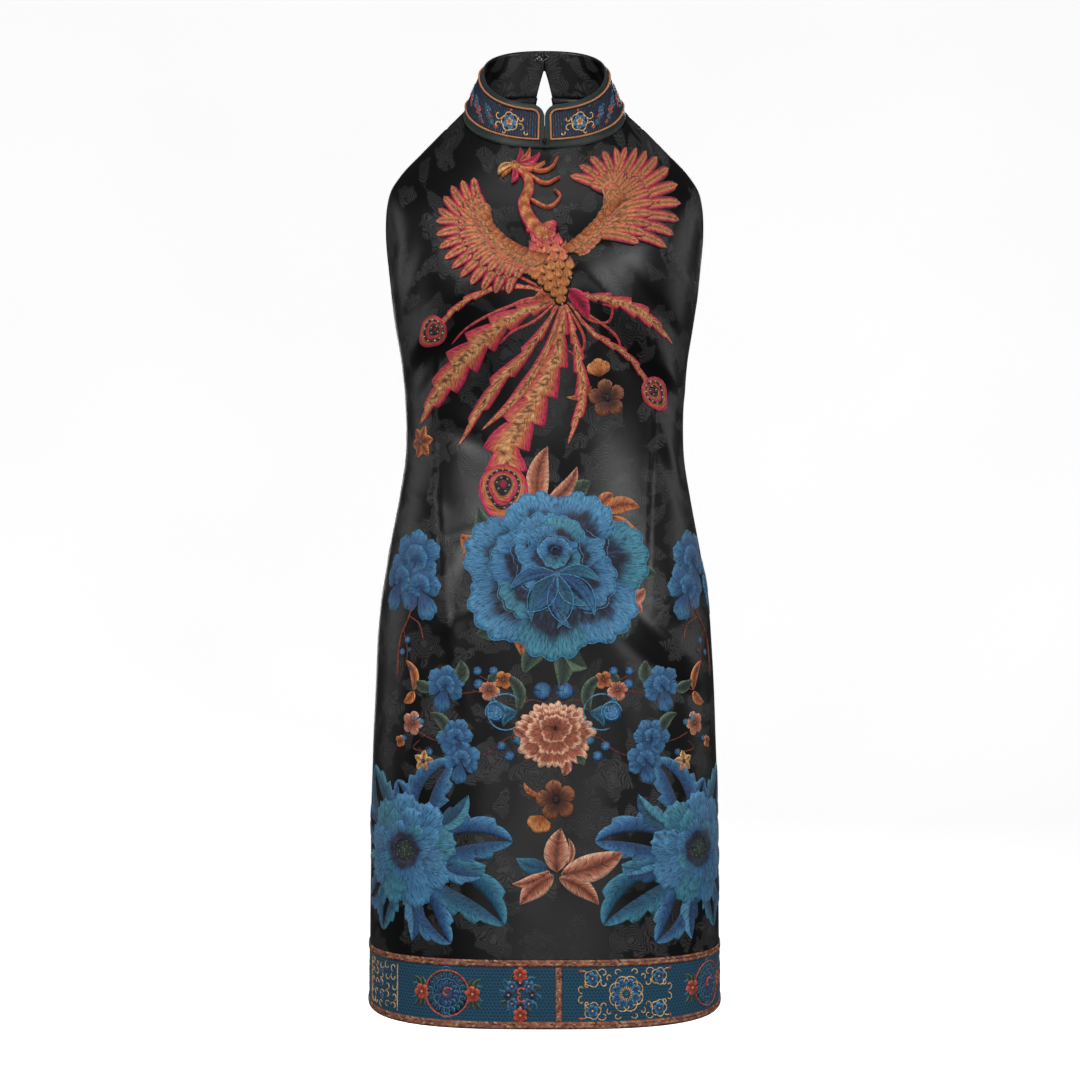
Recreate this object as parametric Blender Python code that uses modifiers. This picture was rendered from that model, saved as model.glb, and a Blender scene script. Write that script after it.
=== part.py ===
"""Halter dress with a stand collar, a back keyhole and a broad hem border, as it hangs when worn.

Metres, +Z up. The front faces -Y and the wearer's left side is +X. The origin is the middle of the
neck seam, where the wearer's neck holds the dress. Every cloth piece is an open surface worked out
from rows of sizes, thickened inwards, with a small gap to its neighbours at the seams.
"""

import math

import bmesh
import bpy
import numpy as np
from mathutils import Vector

SEAM_GAP = 0.0005
SHOULDER_GAP = 0.0014
LAID_GAP = 0.0003
CLOTH_THICK = 0.0016
COLLAR_THICK = 0.0020
INSET_THICK = 0.0008
BRAID_THICK = 0.0010
BRAID_WIDTH = 0.0065
CORD_RADIUS = 0.0011

BORDER_TOP = -0.818
DIVIDER_X = 0.013

COLLAR_HEIGHT = 0.046
COLLAR_CORNER = 0.014
COLLAR_MARGIN = 0.0062
COLLAR_FOOT_MARGIN = 0.0085

KEYHOLE_TOP = 0.064
KEYHOLE_WIDEST = -0.022
KEYHOLE_BOTTOM = -0.056
KEYHOLE_HALF = 0.0150

COLLAR_FOOT_GAP = 0.0005

BORDER_HEIGHT = 0.060
HEM_BRAID_LEVELS = (0.010, 0.010 + BRAID_WIDTH / BORDER_HEIGHT)

NECK_BUTTON_RADIUS = 0.0043
NECK_BUTTON_THICK = 0.0020
NECK_BUTTON_HEIGHT = 0.0755
NECK_BUTTON_X = -0.0048
LOOP_CORD_RADIUS = 0.0006
LOOP_PLAY = 0.0003
LOOP_TAIL_X = 0.0040
FRONT_KNOT_RADIUS = 0.0030
KNOT_LEVEL = 0.16

HALF_COLUMNS = 16
FRONT_GRID_ROWS = 36
BACK_COLUMNS = 14
BACK_GRID_ROWS = 30
COLLAR_COLUMNS = 32

# Rows below the underarm, shared by front and back: the seam's place and the section there.
BODY_COLUMNS = ("half_width", "seam_y", "height", "front_depth", "back_depth",
                "front_square", "back_square")
BODY_ROWS = (
    (0.1730, 0.002, -0.818, 0.1200, 0.1120, 2.90, 2.50),
    (0.1725, 0.002, -0.740, 0.1190, 0.1130, 2.85, 2.45),
    (0.1712, 0.002, -0.650, 0.1170, 0.1150, 2.75, 2.40),
    (0.1680, 0.002, -0.560, 0.1140, 0.1180, 2.60, 2.35),
    (0.1640, 0.002, -0.490, 0.1110, 0.1170, 2.50, 2.35),
    (0.1560, 0.002, -0.435, 0.1070, 0.1080, 2.40, 2.30),
    (0.1455, 0.002, -0.380, 0.1010, 0.0960, 2.32, 2.25),
    (0.1390, 0.002, -0.335, 0.0980, 0.0880, 2.28, 2.25),
    (0.1385, 0.002, -0.295, 0.1000, 0.0860, 2.28, 2.25),
    (0.1425, 0.002, -0.245, 0.1100, 0.0890, 2.34, 2.25),
    (0.1485, 0.003, -0.205, 0.1220, 0.0950, 2.44, 2.28),
    (0.1530, 0.004, -0.172, 0.1280, 0.1000, 2.50, 2.30),
)

# Front rows above the underarm: the armhole edge, then the short shoulder seam. Each row is the
# side's x, y and z, the centre's y and z, the section's squareness, and degrees round to the side.
FRONT_YOKE_ROWS = (
    (0.1560, 0.006, -0.146, -0.1260, -0.146, 2.50, 90),
    (0.1557, -0.014, -0.137, -0.1240, -0.139, 2.48, 84),
    (0.1556, -0.030, -0.124, -0.1210, -0.130, 2.45, 78),
    (0.1550, -0.040, -0.110, -0.1170, -0.120, 2.42, 73),
    (0.1536, -0.045, -0.096, -0.1120, -0.109, 2.38, 70),
    (0.1500, -0.045, -0.080, -0.1060, -0.098, 2.34, 68),
    (0.1410, -0.039, -0.064, -0.0990, -0.087, 2.30, 68),
    (0.1200, -0.025, -0.038, -0.0860, -0.067, 2.25, 70),
    (0.0955, -0.005, -0.008, -0.0690, -0.048, 2.20, 90),
    (0.0815, 0.001, 0.006, -0.0620, -0.040, 2.15, 90),
)

# Back rows above the underarm. The edge stays inside the front's, as seen from the front.
BACK_YOKE_ROWS = (
    (0.1560, 0.006, -0.146, 0.1030, -0.146, 2.30, 90),
    (0.1500, 0.027, -0.130, 0.1045, -0.126, 2.28, 82),
    (0.1420, 0.042, -0.106, 0.1045, -0.100, 2.25, 74),
    (0.1320, 0.049, -0.080, 0.1010, -0.072, 2.22, 68),
    (0.1210, 0.046, -0.055, 0.0950, -0.044, 2.20, 66),
    (0.1090, 0.030, -0.030, 0.0860, -0.014, 2.20, 68),
    (0.0955, -0.005, -0.008, 0.0720, 0.018, 2.20, 90),
    (0.0815, 0.001, 0.006, 0.0630, 0.036, 2.15, 90),
)

# The collar's upper edge: half width, depths before and behind, heights, and squareness.
COLLAR_TOP = {
    "half_width": 0.0615, "side_y": 0.000, "side_z": 0.049,
    "front_y": -0.0520, "front_z": 0.004, "back_y": 0.0530, "back_z": 0.082,
    "front_square": 2.15, "back_square": 2.45,
}

# The hem's lower edge, which rises a little towards the sides.
HEM_EDGE = {"half_width": 0.1735, "seam_y": 0.002, "side_z": -0.873, "centre_z": -0.880,
            "front_depth": 0.1210, "back_depth": 0.1110, "front_square": 2.95, "back_square": 2.55}

# Soft drag folds: two ends as seen from the front (x, z), half width, and height out of the cloth.
FRONT_FOLDS = (
    (0.030, -0.160, 0.138, -0.270, 0.011, 0.0042),
    (0.020, -0.190, 0.128, -0.300, 0.012, -0.0030),
    (-0.060, -0.170, -0.140, -0.240, 0.015, 0.0032),
    (-0.052, -0.200, -0.128, -0.262, 0.010, -0.0026),
    (-0.137, -0.090, -0.142, -0.230, 0.010, 0.0028),
    (0.062, -0.470, 0.150, -0.545, 0.014, 0.0038),
    (0.070, -0.505, 0.150, -0.575, 0.011, -0.0028),
    (-0.072, -0.430, -0.108, -0.540, 0.018, 0.0030),
    (0.118, -0.230, 0.126, -0.400, 0.012, 0.0026),
    (-0.120, -0.300, -0.030, -0.345, 0.009, -0.0020),
    (-0.060, -0.620, -0.085, -0.800, 0.022, 0.0026),
    (0.060, -0.640, 0.078, -0.800, 0.024, 0.0026),
    (0.010, -0.600, -0.004, -0.800, 0.020, -0.0022),
)


def as_table(rows, columns):
    """The rows as a dictionary of arrays, one for each named column."""
    values = np.array(rows, float)
    return {name: values[:, i] for i, name in enumerate(columns)}


def body_rows(facing):
    """The shared rows written as panel rows, for the front (-1) or the back (+1)."""
    body = as_table(BODY_ROWS, BODY_COLUMNS)
    depth = body["front_depth"] if facing < 0 else body["back_depth"]
    square = body["front_square"] if facing < 0 else body["back_square"]
    upright = np.full(len(depth), 90.0)
    return np.column_stack((body["half_width"], body["seam_y"], body["height"],
                            facing * depth, body["height"], square, upright))


def row_knots(rows):
    """Distances of the rows along the panel: along the side seam up to the underarm, so that both
    panels share it, and then halfway between the side's and the centre's own distances."""
    edge_step = np.linalg.norm(np.diff(rows[:, 0:3], axis=0), axis=1)
    centre_step = np.linalg.norm(np.diff(rows[:, 3:5], axis=0), axis=1)
    step = 0.5 * (edge_step + centre_step)
    underarm = len(BODY_ROWS)
    step[:underarm] = edge_step[:underarm]
    return np.concatenate(([0.0], np.cumsum(step)))


def smooth_rows(rows, places):
    """Rows at each place from 0 to 1 along the panel, on a smooth curve through the given rows.
    The side edge turns a corner at the underarm and at the shoulder, whose seam is straight."""
    rows = np.asarray(rows, float)
    knots = row_knots(rows)
    arriving = np.gradient(rows, knots, axis=0)
    leaving = arriving.copy()
    chord = np.diff(rows, axis=0) / np.diff(knots)[:, None]
    for corner in (len(BODY_ROWS), len(rows) - 2):
        arriving[corner, 0:3] = chord[corner - 1, 0:3]
        leaving[corner, 0:3] = chord[corner, 0:3]
    arriving[-1, 0:3] = chord[-1, 0:3]
    at = np.asarray(places) * knots[-1]
    k = np.clip(np.searchsorted(knots, at, side="right") - 1, 0, len(knots) - 2)
    span = (knots[k + 1] - knots[k])[:, None]
    u = (at[:, None] - knots[k][:, None]) / span
    return ((2 * u**3 - 3 * u**2 + 1) * rows[k] + (u**3 - 2 * u**2 + u) * span * leaving[k]
            + (3 * u**2 - 2 * u**3) * rows[k + 1] + (u**3 - u**2) * span * arriving[k + 1])


def side_gap(row):
    """The gap left beside a row's side edge, which is wider along the ridge of the shoulder."""
    shoulder = FRONT_YOKE_ROWS[-2][0]
    tip = (row[2] > FRONT_YOKE_ROWS[-2][2] - 0.0001) and (row[0] < shoulder + 0.0001)
    return 0.5 * (SHOULDER_GAP if tip else SEAM_GAP)


def quarter_section(row, samples=90):
    """Points of one row from the centre line to its side edge, as a part of a rounded square."""
    side_x, side_y, side_z, centre_y, centre_z, square, wrap = row
    angle = np.linspace(0.0, math.radians(wrap), samples)
    across, along = np.sin(angle), np.cos(angle)
    radius = (across**square + np.abs(along)**square) ** (-1.0 / square)
    across, along = across * radius, along * radius
    share = (along - along[-1]) / (1.0 - along[-1])
    return np.column_stack((side_x * across / across[-1],
                            side_y + (centre_y - side_y) * share,
                            side_z + (centre_z - side_z) * share))


def along_section(points, distances):
    """Points at the given distances along a row, in metres from its first point."""
    steps = np.linalg.norm(np.diff(points, axis=0), axis=1)
    length = np.concatenate(([0.0], np.cumsum(steps)))
    return np.column_stack([np.interp(distances, length, points[:, i]) for i in range(3)])


def section_length(points):
    return float(np.linalg.norm(np.diff(points, axis=0), axis=1).sum())


def keyhole_half(height):
    """Half the keyhole's width at a height: a drop that widens slowly and closes in a round."""
    height = np.asarray(height, float)
    upper = np.clip((KEYHOLE_TOP - height) / (KEYHOLE_TOP - KEYHOLE_WIDEST), 0.0, 1.0)
    lower = np.clip((KEYHOLE_WIDEST - height) / (KEYHOLE_WIDEST - KEYHOLE_BOTTOM), 0.0, 1.0)
    half = KEYHOLE_HALF * np.sin(0.5 * math.pi * upper**0.9) * np.sqrt(1.0 - lower**2)
    return np.maximum(half, 0.5 * SEAM_GAP)


def fold_rise(x, z):
    """How far the front cloth stands out of its smooth form at a place seen from the front."""
    rise = np.zeros(np.shape(x))
    for x0, z0, x1, z1, spread, height in FRONT_FOLDS:
        dx, dz = x1 - x0, z1 - z0
        share = ((x - x0) * dx + (z - z0) * dz) / (dx * dx + dz * dz)
        nearest = np.clip(share, 0.0, 1.0)
        away = np.hypot(x - x0 - nearest * dx, z - z0 - nearest * dz)
        swell = 0.35 + 0.65 * np.sin(math.pi * np.clip(share, 0.0, 1.0))
        rise += height * swell * np.exp(-((away / spread) ** 2))
    return rise


def outward(grid):
    """Unit normals of a grid of points, pointing away from the dress's own axis."""
    normal = grid_normals(grid)
    return -normal if facing_in(grid) else normal


def grid_normals(grid):
    normal = np.cross(np.gradient(grid, axis=1), np.gradient(grid, axis=0))
    return normal / np.linalg.norm(normal, axis=2, keepdims=True)


def facing_in(grid):
    """True where the grid's own normals point towards the dress's axis."""
    radial = grid * np.array((1.0, 1.0, 0.0))
    return (grid_normals(grid) * radial).sum() < 0.0


def mirrored(grid):
    """The same piece on the other side of the dress."""
    return grid * np.array((-1.0, 1.0, 1.0))


def front_grid(rows, half_columns):
    """The front's outer surface from side seam to side seam, bottom to top."""
    table = np.vstack((body_rows(-1), FRONT_YOKE_ROWS))
    share = np.linspace(0.0, 1.0, half_columns + 1)
    grid = []
    for row in smooth_rows(table, np.linspace(0.0, 1.0, rows + 1)):
        section = quarter_section(row)
        reach = section_length(section) - side_gap(row)
        half = along_section(section, share * reach)
        grid.append(np.vstack((half[:0:-1] * (-1.0, 1.0, 1.0), half)))
    grid = np.array(grid)
    taper = np.sin(math.pi * np.linspace(0.0, 1.0, rows + 1))[:, None] ** 0.5
    edge = 1.0 - np.abs(np.linspace(-1.0, 1.0, 2 * half_columns + 1)) ** 6
    rise = fold_rise(grid[:, :, 0], grid[:, :, 2]) * taper * edge
    return grid + outward(grid) * rise[:, :, None]


def back_places(rows):
    """Places of the back's rows, closer together round the foot of the keyhole."""
    even = np.linspace(0.0, 1.0, rows + 1)
    table = np.vstack((body_rows(1), BACK_YOKE_ROWS))
    heights = smooth_rows(table, np.linspace(0.0, 1.0, 2001))[:, 4]
    foot = []
    for drop in (-0.0005, 0.0002, 0.0012, 0.0030, 0.0060, 0.0105):
        foot.append(np.interp(KEYHOLE_BOTTOM + drop, heights, np.linspace(0.0, 1.0, 2001)))
    kept = [p for p in even if min(abs(p - f) for f in foot) > 0.4 / rows]
    return np.sort(np.array(kept + foot))


def back_grid(rows, columns):
    """The left back's outer surface, from the centre seam and keyhole edge to the side."""
    table = np.vstack((body_rows(1), BACK_YOKE_ROWS))
    share = np.linspace(0.0, 1.0, columns + 1)
    grid = []
    for row in smooth_rows(table, back_places(rows)):
        section = quarter_section(row)
        start = float(keyhole_half(row[4]))
        reach = section_length(section) - side_gap(row)
        grid.append(along_section(section, start + share * (reach - start)))
    return np.array(grid)


def border_rows(facing):
    """The hem border's rows, from the hem's edge up to the seam under the braid."""
    foot = HEM_EDGE
    depth = foot["front_depth"] if facing < 0 else foot["back_depth"]
    square = foot["front_square"] if facing < 0 else foot["back_square"]
    edge = (foot["half_width"], foot["seam_y"], foot["side_z"], facing * depth,
            foot["centre_z"], square, 90.0)
    seam = body_rows(facing)[0].copy()
    seam[[2, 4]] = BORDER_TOP - SEAM_GAP
    return np.array((edge, seam))


def border_grid(facing, low, high, rows, half_columns, span=None):
    """A stretch of the hem border between two shares of its height, round one face."""
    edge, seam = border_rows(facing)
    grid = []
    for level in np.linspace(low, high, rows + 1):
        section = quarter_section(edge + (seam - edge) * level)
        reach = section_length(section) - 0.5 * SEAM_GAP
        if span is None:
            half = along_section(section, np.linspace(0.0, reach, half_columns + 1))
            grid.append(np.vstack((half[:0:-1] * (-1.0, 1.0, 1.0), half)))
        else:
            grid.append(along_section(section, np.linspace(*span, half_columns + 1)))
    return np.array(grid)


def seam_braid_grid(facing, half_columns):
    """The braid over the border's upper seam, half its width on the cloth above."""
    seam = body_rows(facing)[0]
    grid = []
    for lift in (-0.5 * BRAID_WIDTH, 0.0, 0.5 * BRAID_WIDTH):
        row = seam.copy()
        row[[2, 4]] += lift
        section = quarter_section(row)
        reach = section_length(section) - 0.5 * SEAM_GAP
        half = along_section(section, np.linspace(0.0, reach, half_columns + 1))
        grid.append(np.vstack((half[:0:-1] * (-1.0, 1.0, 1.0), half)))
    return np.array(grid)


def ring(front_row, back_row):
    """Half of a ring round the neck, from the front centre past the side to the back centre."""
    front = quarter_section(front_row)
    back = quarter_section(back_row)
    return np.vstack((front, back[-2::-1]))


def neck_ring():
    return ring(FRONT_YOKE_ROWS[-1], BACK_YOKE_ROWS[-1])


def collar_top_ring():
    top = COLLAR_TOP
    front = (top["half_width"], top["side_y"], top["side_z"], top["front_y"], top["front_z"],
             top["front_square"], 90.0)
    back = (top["half_width"], top["side_y"], top["side_z"], top["back_y"], top["back_z"],
            top["back_square"], 90.0)
    return ring(front, back)


def collar_point(distance, height):
    """A point on the collar's outer face: distance round from the front, height up from the seam."""
    low, high = neck_ring(), collar_top_ring()
    share = distance / section_length(low)
    foot = along_section(low, np.array([share * section_length(low)]))[0]
    head = along_section(high, np.array([share * section_length(high)]))[0]
    return foot + (head - foot) * height / COLLAR_HEIGHT


def collar_upper_edge(distance, margin):
    """The collar's height at a distance from the front end, with its corner rounded off."""
    inner = max(COLLAR_CORNER - margin, 0.004)
    run = np.clip((distance - margin) / inner, 0.0, 1.0)
    return COLLAR_HEIGHT - margin - inner * (1.0 - np.sqrt(1.0 - (1.0 - run) ** 2))


def collar_back_end(height, margin):
    """Distance round to the collar's back edge, which opens into the keyhole."""
    low, high = section_length(neck_ring()), section_length(collar_top_ring())
    share = height / COLLAR_HEIGHT
    foot_z, head_z = BACK_YOKE_ROWS[-1][4], COLLAR_TOP["back_z"]
    here = low + (high - low) * share
    opening = float(keyhole_half(foot_z + (head_z - foot_z) * share))
    return low * (1.0 - (opening + margin) / here)


def collar_stations(margin, count):
    """Shares of the way round the collar, closer together at the rounded front corner."""
    corner = 1.0 - np.cos(np.linspace(0.0, 0.5 * math.pi, 6))
    corner = corner * (COLLAR_CORNER - 0.5 * margin) / section_length(neck_ring())
    rest = np.linspace(corner[-1], 1.0, count - 4)[1:]
    return np.concatenate((corner, rest))


def collar_grid(foot, margin, rows, columns):
    """A stretch of the collar's outer face that keeps a margin to its front, top and back edges."""
    start = 0.5 * SEAM_GAP + margin
    grid = []
    for level in np.linspace(0.0, 1.0, rows + 1):
        line = []
        for share in collar_stations(margin, columns):
            guess = start + share * (collar_back_end(COLLAR_HEIGHT * level, margin) - start)
            height = foot + (collar_upper_edge(guess, margin) - foot) * level
            end = collar_back_end(height, margin)
            line.append(collar_point(start + share * (end - start), height))
        grid.append(line)
    return np.array(grid)


def collar_cord_path():
    """The closed path of the cord round the inset's edge, on the collar's outer face."""
    margin, foot = COLLAR_MARGIN, COLLAR_FOOT_MARGIN
    grid = collar_grid(foot, margin, 6, 24)
    normal = outward(grid)
    lifted = grid + normal * (LAID_GAP + CORD_RADIUS)
    return np.vstack((lifted[0, :-1], lifted[:-1, -1], lifted[-1, :0:-1], lifted[:0:-1, 0]))


def material(name, colour, roughness, metallic=0.0):
    finish = bpy.data.materials.new(name)
    finish.use_nodes = True
    shader = finish.node_tree.nodes["Principled BSDF"]
    shader.inputs["Base Color"].default_value = (*colour, 1.0)
    shader.inputs["Roughness"].default_value = roughness
    shader.inputs["Metallic"].default_value = metallic
    finish.diffuse_color = (*colour, 1.0)
    return finish


def clear_scene():
    for thing in list(bpy.data.objects):
        bpy.data.objects.remove(thing)


def dress_collection():
    group = bpy.data.collections.new("halter_dress")
    bpy.context.scene.collection.children.link(group)
    return group


def laid_on(grid):
    """The grid moved out to lie just clear of the cloth beneath."""
    return grid + outward(grid) * LAID_GAP


def cloth_wall(name, grid, thick, finish, group, grows=-1.0):
    """A closed cloth wall: a flat grid shaped to the points, then thickened in (-1) or out (+1)."""
    rows, columns = grid.shape[0] - 1, grid.shape[1] - 1
    if facing_in(grid):
        grid = grid[:, ::-1]
    sheet = bmesh.new()
    bmesh.ops.create_grid(sheet, x_segments=columns, y_segments=rows, size=1.0)
    for vert in sheet.verts:
        column = round((vert.co.x + 1.0) * 0.5 * columns)
        row = round((vert.co.y + 1.0) * 0.5 * rows)
        vert.co = Vector(grid[row, column])
    mesh = bpy.data.meshes.new(name)
    sheet.to_mesh(mesh)
    sheet.free()
    mesh.shade_smooth()
    mesh.materials.append(finish)
    piece = bpy.data.objects.new(name, mesh)
    group.objects.link(piece)
    wall = piece.modifiers.new("cloth thickness", "SOLIDIFY")
    wall.thickness = thick
    wall.offset = grows
    return piece


def cord_tube(name, path, radius, sides_level, finish, group):
    """A closed loop of cord along the path."""
    curve = bpy.data.curves.new(name, "CURVE")
    curve.dimensions = "3D"
    curve.bevel_depth = radius
    curve.bevel_resolution = sides_level
    spline = curve.splines.new("POLY")
    spline.points.add(len(path) - 1)
    for point, place in zip(spline.points, path):
        point.co = (*place, 1.0)
    spline.use_cyclic_u = True
    curve.materials.append(finish)
    piece = bpy.data.objects.new(name, curve)
    group.objects.link(piece)
    return piece


def make_panels(satin, group):
    front = front_grid(FRONT_GRID_ROWS, HALF_COLUMNS)
    cloth_wall("front_panel", front, CLOTH_THICK, satin, group)
    back = back_grid(BACK_GRID_ROWS, BACK_COLUMNS)
    cloth_wall("back_panel_left", back, CLOTH_THICK, satin, group)
    cloth_wall("back_panel_right", mirrored(back), CLOTH_THICK, satin, group)


def make_collar(base, inset, copper, group):
    stand = collar_grid(COLLAR_FOOT_GAP, 0.0, 4, COLLAR_COLUMNS)
    panel_margin = COLLAR_MARGIN + CORD_RADIUS + SEAM_GAP
    panel_foot = COLLAR_FOOT_MARGIN + CORD_RADIUS + SEAM_GAP
    panel = laid_on(collar_grid(panel_foot, panel_margin, 3, COLLAR_COLUMNS))
    cord = collar_cord_path()
    for side, turn in (("left", np.array), ("right", mirrored)):
        cloth_wall("collar_" + side, turn(stand), COLLAR_THICK, base, group)
        cloth_wall("collar_inset_" + side, turn(panel), INSET_THICK, inset, group, grows=1.0)
        cord_tube("collar_cord_" + side, turn(cord), CORD_RADIUS, 1, copper, group)


def make_border(border, braid, group):
    for facing, face, columns in ((-1, "front", HALF_COLUMNS), (1, "back", BACK_COLUMNS)):
        band = border_grid(facing, 0.0, 1.0, 3, columns)
        cloth_wall("border_" + face, band, CLOTH_THICK, border, group)
        seam_braid = laid_on(seam_braid_grid(facing, columns))
        cloth_wall("seam_braid_" + face, seam_braid, BRAID_THICK, braid, group, grows=1.0)
        low, high = HEM_BRAID_LEVELS
        hem_braid = laid_on(border_grid(facing, low, high, 1, columns))
        cloth_wall("hem_braid_" + face, hem_braid, BRAID_THICK, braid, group, grows=1.0)
    low = HEM_BRAID_LEVELS[1] + SEAM_GAP / BORDER_HEIGHT
    high = 1.0 - (0.5 * BRAID_WIDTH + SEAM_GAP) / BORDER_HEIGHT
    span = (DIVIDER_X - 0.5 * BRAID_WIDTH, DIVIDER_X + 0.5 * BRAID_WIDTH)
    divider = laid_on(border_grid(-1, low, high, 4, 2, span))
    cloth_wall("border_divider", divider, BRAID_THICK, braid, group, grows=1.0)


def collar_face(height):
    """The middle of the collar's back edge at a height, and the way out of the collar there."""
    stand = collar_grid(COLLAR_FOOT_GAP, 0.0, 4, COLLAR_COLUMNS)
    edge = stand[:, -1]
    out = outward(stand)[:, -1].mean(axis=0)
    out[0] = 0.0
    at = [np.interp(height, edge[:, 2], edge[:, i]) for i in range(3)]
    return Vector((0.0, at[1], at[2])), Vector(out).normalized()


def make_button(glossy, group):
    """A round rimmed button inside the collar's top edge, beside the slit."""
    face, out = collar_face(NECK_BUTTON_HEIGHT)
    r, t = NECK_BUTTON_RADIUS, NECK_BUTTON_THICK
    profile = ((0.0, t), (0.62 * r, t), (0.70 * r, 1.25 * t), (0.86 * r, 1.3 * t),
               (r, 0.85 * t), (r, 0.35 * t), (0.8 * r, 0.0), (0.0, 0.0))
    rim = bmesh.new()
    verts = [rim.verts.new((x, 0.0, z)) for x, z in profile]
    for first, second in zip(verts, verts[1:]):
        rim.edges.new((first, second))
    mesh = bpy.data.meshes.new("neck_button")
    rim.to_mesh(mesh)
    rim.free()
    mesh.materials.append(glossy)
    piece = bpy.data.objects.new("neck_button", mesh)
    group.objects.link(piece)
    turned = piece.modifiers.new("turned", "SCREW")
    turned.steps = 20
    turned.render_steps = 20
    turned.use_merge_vertices = True
    turned.merge_threshold = 0.00005
    inner = face - out * (COLLAR_THICK + LAID_GAP)
    piece.rotation_mode = "QUATERNION"
    piece.rotation_quaternion = (-out).to_track_quat("Z", "Y")
    piece.location = inner + Vector((NECK_BUTTON_X, 0.0, 0.0))


def make_loop(glossy, group):
    """The cord loop from the other half of the collar, lying round the button."""
    face, out = collar_face(NECK_BUTTON_HEIGHT)
    radius = NECK_BUTTON_RADIUS + LOOP_CORD_RADIUS + LOOP_PLAY
    middle = face - out * (COLLAR_THICK + SEAM_GAP + LOOP_CORD_RADIUS)
    middle += Vector((NECK_BUTTON_X, 0.0, 0.0))
    up = Vector((1.0, 0.0, 0.0)).cross(out).normalized()
    path = []
    for angle in np.linspace(math.radians(40.0), math.radians(320.0), 26):
        path.append(middle + Vector((radius * math.cos(angle), 0.0, 0.0))
                    + up * radius * math.sin(angle))
    tail = LOOP_TAIL_X - NECK_BUTTON_X
    path.append(middle + Vector((tail, 0.0, 0.0)) - up * LOOP_CORD_RADIUS * 1.6)
    path.append(middle + Vector((tail, 0.0, 0.0)) + up * LOOP_CORD_RADIUS * 1.6)
    cord_tube("neck_loop", path, LOOP_CORD_RADIUS, 1, glossy, group)


def make_front_knot(glossy, group):
    """The small ball knot over the foot of the collar's front opening."""
    stand = collar_grid(COLLAR_FOOT_GAP, 0.0, 4, COLLAR_COLUMNS)
    edge = stand[0, 0] + (stand[-1, 0] - stand[0, 0]) * KNOT_LEVEL
    out = outward(stand)[0, 0]
    out[0] = 0.0
    ball = bmesh.new()
    bmesh.ops.create_uvsphere(ball, u_segments=14, v_segments=9, radius=FRONT_KNOT_RADIUS)
    mesh = bpy.data.meshes.new("front_knot")
    ball.to_mesh(mesh)
    ball.free()
    mesh.shade_smooth()
    mesh.materials.append(glossy)
    piece = bpy.data.objects.new("front_knot", mesh)
    group.objects.link(piece)
    way_out = Vector(out).normalized()
    seat = Vector((0.0, edge[1], edge[2]))
    piece.location = seat + way_out * (FRONT_KNOT_RADIUS + LAID_GAP)


def main():
    clear_scene()
    group = dress_collection()
    satin = material("black_jacquard_satin", (0.014, 0.014, 0.015), 0.38)
    teal = material("dark_teal_satin", (0.010, 0.028, 0.028), 0.42)
    navy = material("navy_ribbed_brocade", (0.020, 0.030, 0.060), 0.50)
    copper = material("copper_cord", (0.62, 0.27, 0.13), 0.42)
    border = material("peacock_blue_brocade", (0.004, 0.090, 0.170), 0.52)
    braid = material("copper_braid", (0.45, 0.22, 0.13), 0.50)
    glossy = material("black_horn", (0.010, 0.010, 0.010), 0.18)
    make_panels(satin, group)
    make_collar(teal, navy, copper, group)
    make_border(border, braid, group)
    make_button(glossy, group)
    make_loop(glossy, group)
    make_front_knot(glossy, group)


main()
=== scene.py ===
"""How the halter dress looks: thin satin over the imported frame, with its braid, border and needlework.

Metres, in the frame's own place: +Z up, the front faces -Y, the wearer's left is +X, and the origin
is the middle of the neck seam. A place on the cloth is (across, up): the distance round the dress
from its middle line, and the height that the row has on that line.
"""

from math import atan2, cos, pi, radians, sin, sqrt, tau

import bmesh
import bpy
import numpy as np
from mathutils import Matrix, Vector


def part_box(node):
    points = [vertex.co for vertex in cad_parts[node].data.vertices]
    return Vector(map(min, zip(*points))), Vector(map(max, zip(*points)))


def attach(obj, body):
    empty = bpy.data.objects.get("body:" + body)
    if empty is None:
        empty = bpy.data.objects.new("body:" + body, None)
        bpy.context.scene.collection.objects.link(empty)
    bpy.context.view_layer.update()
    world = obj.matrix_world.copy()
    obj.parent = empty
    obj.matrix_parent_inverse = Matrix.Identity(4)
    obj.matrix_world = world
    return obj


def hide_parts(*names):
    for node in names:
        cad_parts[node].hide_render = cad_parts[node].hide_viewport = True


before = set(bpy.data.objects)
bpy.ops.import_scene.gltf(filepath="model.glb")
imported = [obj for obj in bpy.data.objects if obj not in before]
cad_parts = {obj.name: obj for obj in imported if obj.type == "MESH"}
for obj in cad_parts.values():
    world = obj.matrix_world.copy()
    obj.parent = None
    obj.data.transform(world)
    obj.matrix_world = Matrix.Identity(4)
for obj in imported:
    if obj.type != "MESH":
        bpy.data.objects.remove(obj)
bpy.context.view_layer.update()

SEAM_GAP = 0.0003
SHOULDER_GAP = 0.001
LAID_GAP = 0.0003
CLOTH_THICK = 0.0011
COLLAR_THICK = 0.0018
INSET_THICK = 0.0006
BRAID_WIDTH = 0.0065
CORD_RADIUS = 0.0011

BORDER_TOP = -0.818
BORDER_HEIGHT = 0.06
HEM_BRAID_LEVELS = (0.01, 0.01 + BRAID_WIDTH / BORDER_HEIGHT)
DIVIDER_X = 0.013

COLLAR_HEIGHT = 0.046
COLLAR_CORNER = 0.014
COLLAR_MARGIN = 0.0062
COLLAR_FOOT_MARGIN = 0.0085
COLLAR_FOOT_GAP = 0.0005

KEYHOLE_TOP = 0.064
KEYHOLE_WIDEST = -0.022
KEYHOLE_BOTTOM = -0.056
KEYHOLE_HALF = 0.015

NECK_BUTTON_RADIUS = 0.0043
NECK_BUTTON_HEIGHT = 0.0755
NECK_BUTTON_X = -0.0048

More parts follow.
